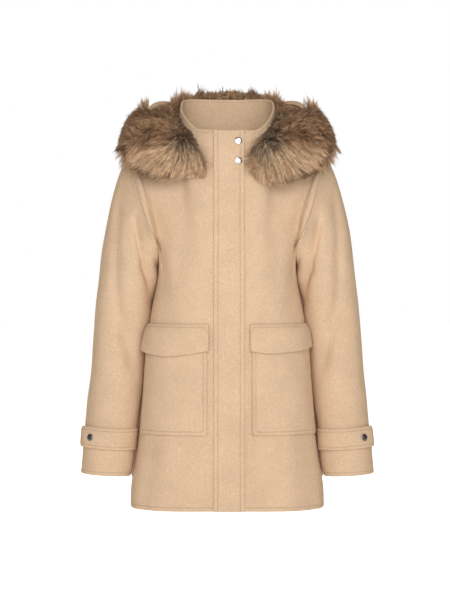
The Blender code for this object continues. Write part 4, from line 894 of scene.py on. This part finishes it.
def lock_strands():
    """The locks of the table above on both sides, uneven by a little."""
    rng = np.random.default_rng(PILE_SEED + 1)
    tones = {name: np.array(value) for name, value in PILE_TONES.items()}
    made = []
    for mirror in (-1, 1):
        for lock in LOCKS:
            if lock.get("side", mirror) != mirror:
                continue
            stray = lock.get("stray", LOCK_STRAY)
            path, to = np.array(lock["path"]), np.array(lock["to"])
            places = np.linspace(0, 1, len(path))
            for at in rng.random(lock["clumps"]):
                foot = np.array([np.interp(at, places, path[:, k]) for k in range(3)])
                way = np.array([np.interp(at, places, to[:, k]) for k in range(3)])
                size = np.linalg.norm(way)
                foot = (foot + rng.normal(size=3) * lock["spread"]) * (mirror, 1, 1)
                way = way * (mirror, 1, 1) * rng.uniform(0.6, 1.08)
                way = way + rng.normal(size=3) * size * stray
                bend = rng.normal(size=3) * size * stray
                bend = bend + np.array(lock.get("bend", (0, -0.002, 0))) * (mirror, 1, 1)
                offset = rng.normal(size=(LOCK_STRANDS, 3)) * LOCK_RADIUS
                reach = rng.uniform(0.62, 1.0, (LOCK_STRANDS, 1))
                starts = foot + offset
                tips = foot + way * reach + offset * (1.05 - lock["gather"] * reach)
                knees = starts + (tips - starts) * 0.5 + bend
                side = unit(np.cross(tips - starts, rng.normal(size=(LOCK_STRANDS, 3))
                                     + (0, -1.5, 0)))
                shade = rng.uniform(0.75, 1.25, (LOCK_STRANDS, 1))
                pale = rng.random((LOCK_STRANDS, 1)) < lock["hairs"]
                # Painted shade: each lock's strands start dark at their roots.
                root, foot_tone, tip_tone = (np.broadcast_to(tones[name], (LOCK_STRANDS, 3))
                                             for name in ("dark", lock["foot"], lock["tip"]))
                middle = np.where(pale, tones["cream"], (foot_tone + tip_tone) / 2)
                last = np.where(pale, tones["pale"], tip_tone)
                colours = np.stack([root, foot_tone, middle, last], 1) * shade[:, None]
                widths = STRAND_WIDTH * rng.uniform(0.6, 1.15, LOCK_STRANDS)
                made.append((curves(starts, knees, tips), widths, side, colours))
    return [np.concatenate(parts) for parts in zip(*made)]


def build_pile():
    """The trim's pile in a few pieces, over a backing that fills it and is painted dark as shade
    deep in the pile.
    """
    mesh, _ = refined("fur_trim", PILE_LEVEL)
    mesh.vertices.foreach_set("co", settled(coordinates_of(mesh)).ravel())
    mesh.update()
    tree = BVHTree.FromPolygons(coordinates_of(mesh).tolist(),
                                [list(p.vertices) for p in mesh.polygons])
    joined = [np.concatenate(pair) for pair in
              zip(pile_strands(mesh, tree), lock_strands())]
    order = np.argsort(joined[0][:, 0, 0], kind="stable")
    material = pile_material("long_pile")
    for number, part in enumerate(np.array_split(order, PILE_PIECES)):
        piece = strand_mesh(f"pile.{number}", *(values[part] for values in joined))
        make_object(f"pile.{number}", piece, material, "fur_pile", "fur_trim")
    points, normals = coordinates_of(mesh), normals_of(mesh)
    deep = BACKING_DEPTH + BACKING_WAVE * waves(points, 45, 6)
    core = points - normals * deep[:, None]
    mesh.vertices.foreach_set("co", core.ravel())
    # Painted shade: the backing takes the pile's darker tone at 0.6 of its brightness, as the
    # shade deep in the pile.
    dark, light, _ = pile_tones(points)
    paint(mesh, tone_mix(dark, light, np.full(len(dark), 0.15)) * 0.6)
    made = make_object("pile.backing", mesh, material, "fur_pile", "fur_trim")


# ---- Camera, light and floor --------------------------------------------------------

def area_light(name, place, target, size, power):
    data = bpy.data.lights.new(name, "AREA")
    data.shape, data.size, data.energy = "SQUARE", size, power
    lamp = bpy.data.objects.new(name, data)
    lamp.location = place
    lamp.rotation_euler = (Vector(target) - Vector(place)).to_track_quat("-Z", "Y").to_euler()
    bpy.context.scene.collection.objects.link(lamp)


def studio():
    """Camera, even light all round, a pale floor and the lamps."""
    scene = bpy.context.scene
    data = bpy.data.cameras.new("camera")
    data.lens, data.sensor_width, data.sensor_fit = CAMERA_LENS, CAMERA_SENSOR, "AUTO"
    camera = bpy.data.objects.new("camera", data)
    camera.location = CAMERA_PLACE
    camera.rotation_euler = (math.pi / 2, 0, 0)
    scene.collection.objects.link(camera)
    scene.camera = camera
    world = bpy.data.worlds.new("studio")
    world.use_nodes = True
    background = world.node_tree.nodes["Background"]
    seen = node_of(world.node_tree, "ShaderNodeLightPath").outputs["Is Camera Ray"]
    world.node_tree.links.new(mix_colour(world.node_tree, seen, SKY_LIGHT, (1, 1, 1)),
                              background.inputs["Color"])
    scene.view_settings.view_transform = "Standard"
    scene.world = world
    work = bmesh.new()
    bmesh.ops.create_circle(work, cap_ends=True, segments=64, radius=FLOOR_RADIUS)
    mesh = bpy.data.meshes.new("floor")
    work.to_mesh(mesh)
    work.free()
    floor = bpy.data.objects.new("floor", mesh)
    floor.location.z = cad_box[0].z - FLOOR_DROP
    scene.collection.objects.link(floor)
    paper, tree, shader = new_material("paper")
    set_inputs(shader, {"Base Color": (0.92, 0.92, 0.92, 1), "Roughness": 0.9,
                        "Emission Color": (1, 1, 1, 1)})
    seen = node_of(tree, "ShaderNodeLightPath").outputs["Is Camera Ray"]
    tree.links.new(map_range(tree, seen, 0, 1, PAPER_LIGHT, PAPER_WHITE, False),
                   shader.inputs["Emission Strength"])
    mesh.materials.append(paper)
    for lamp in LAMPS:
        area_light(**lamp)


wool = wool_material("camel_wool", WOOL_COLOUR)
chrome = chrome_material("polished_studs", CHROME_COLOUR)
painted_reflection_chrome = chrome_material("studs_painted_dark_reflection", STRAP_STUD_PAINTED_REFLECTION_COLOUR)
studio()
threads = []
for node, facts in CLOTH.items():
    threads += cloth_piece(node, wool, **facts)
stitches("topstitching", threads, thread_material("thread", THREAD_COLOUR))
build_pile()
# The strap studs take the darker metal: a painted dark reflection.
for node, metal in (("stud_upper", chrome), ("stud_lower", chrome),
                    ("strap_stud_left", painted_reflection_chrome), ("strap_stud_right", painted_reflection_chrome)):
    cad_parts[node].data.materials.clear()
    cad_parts[node].data.materials.append(metal)
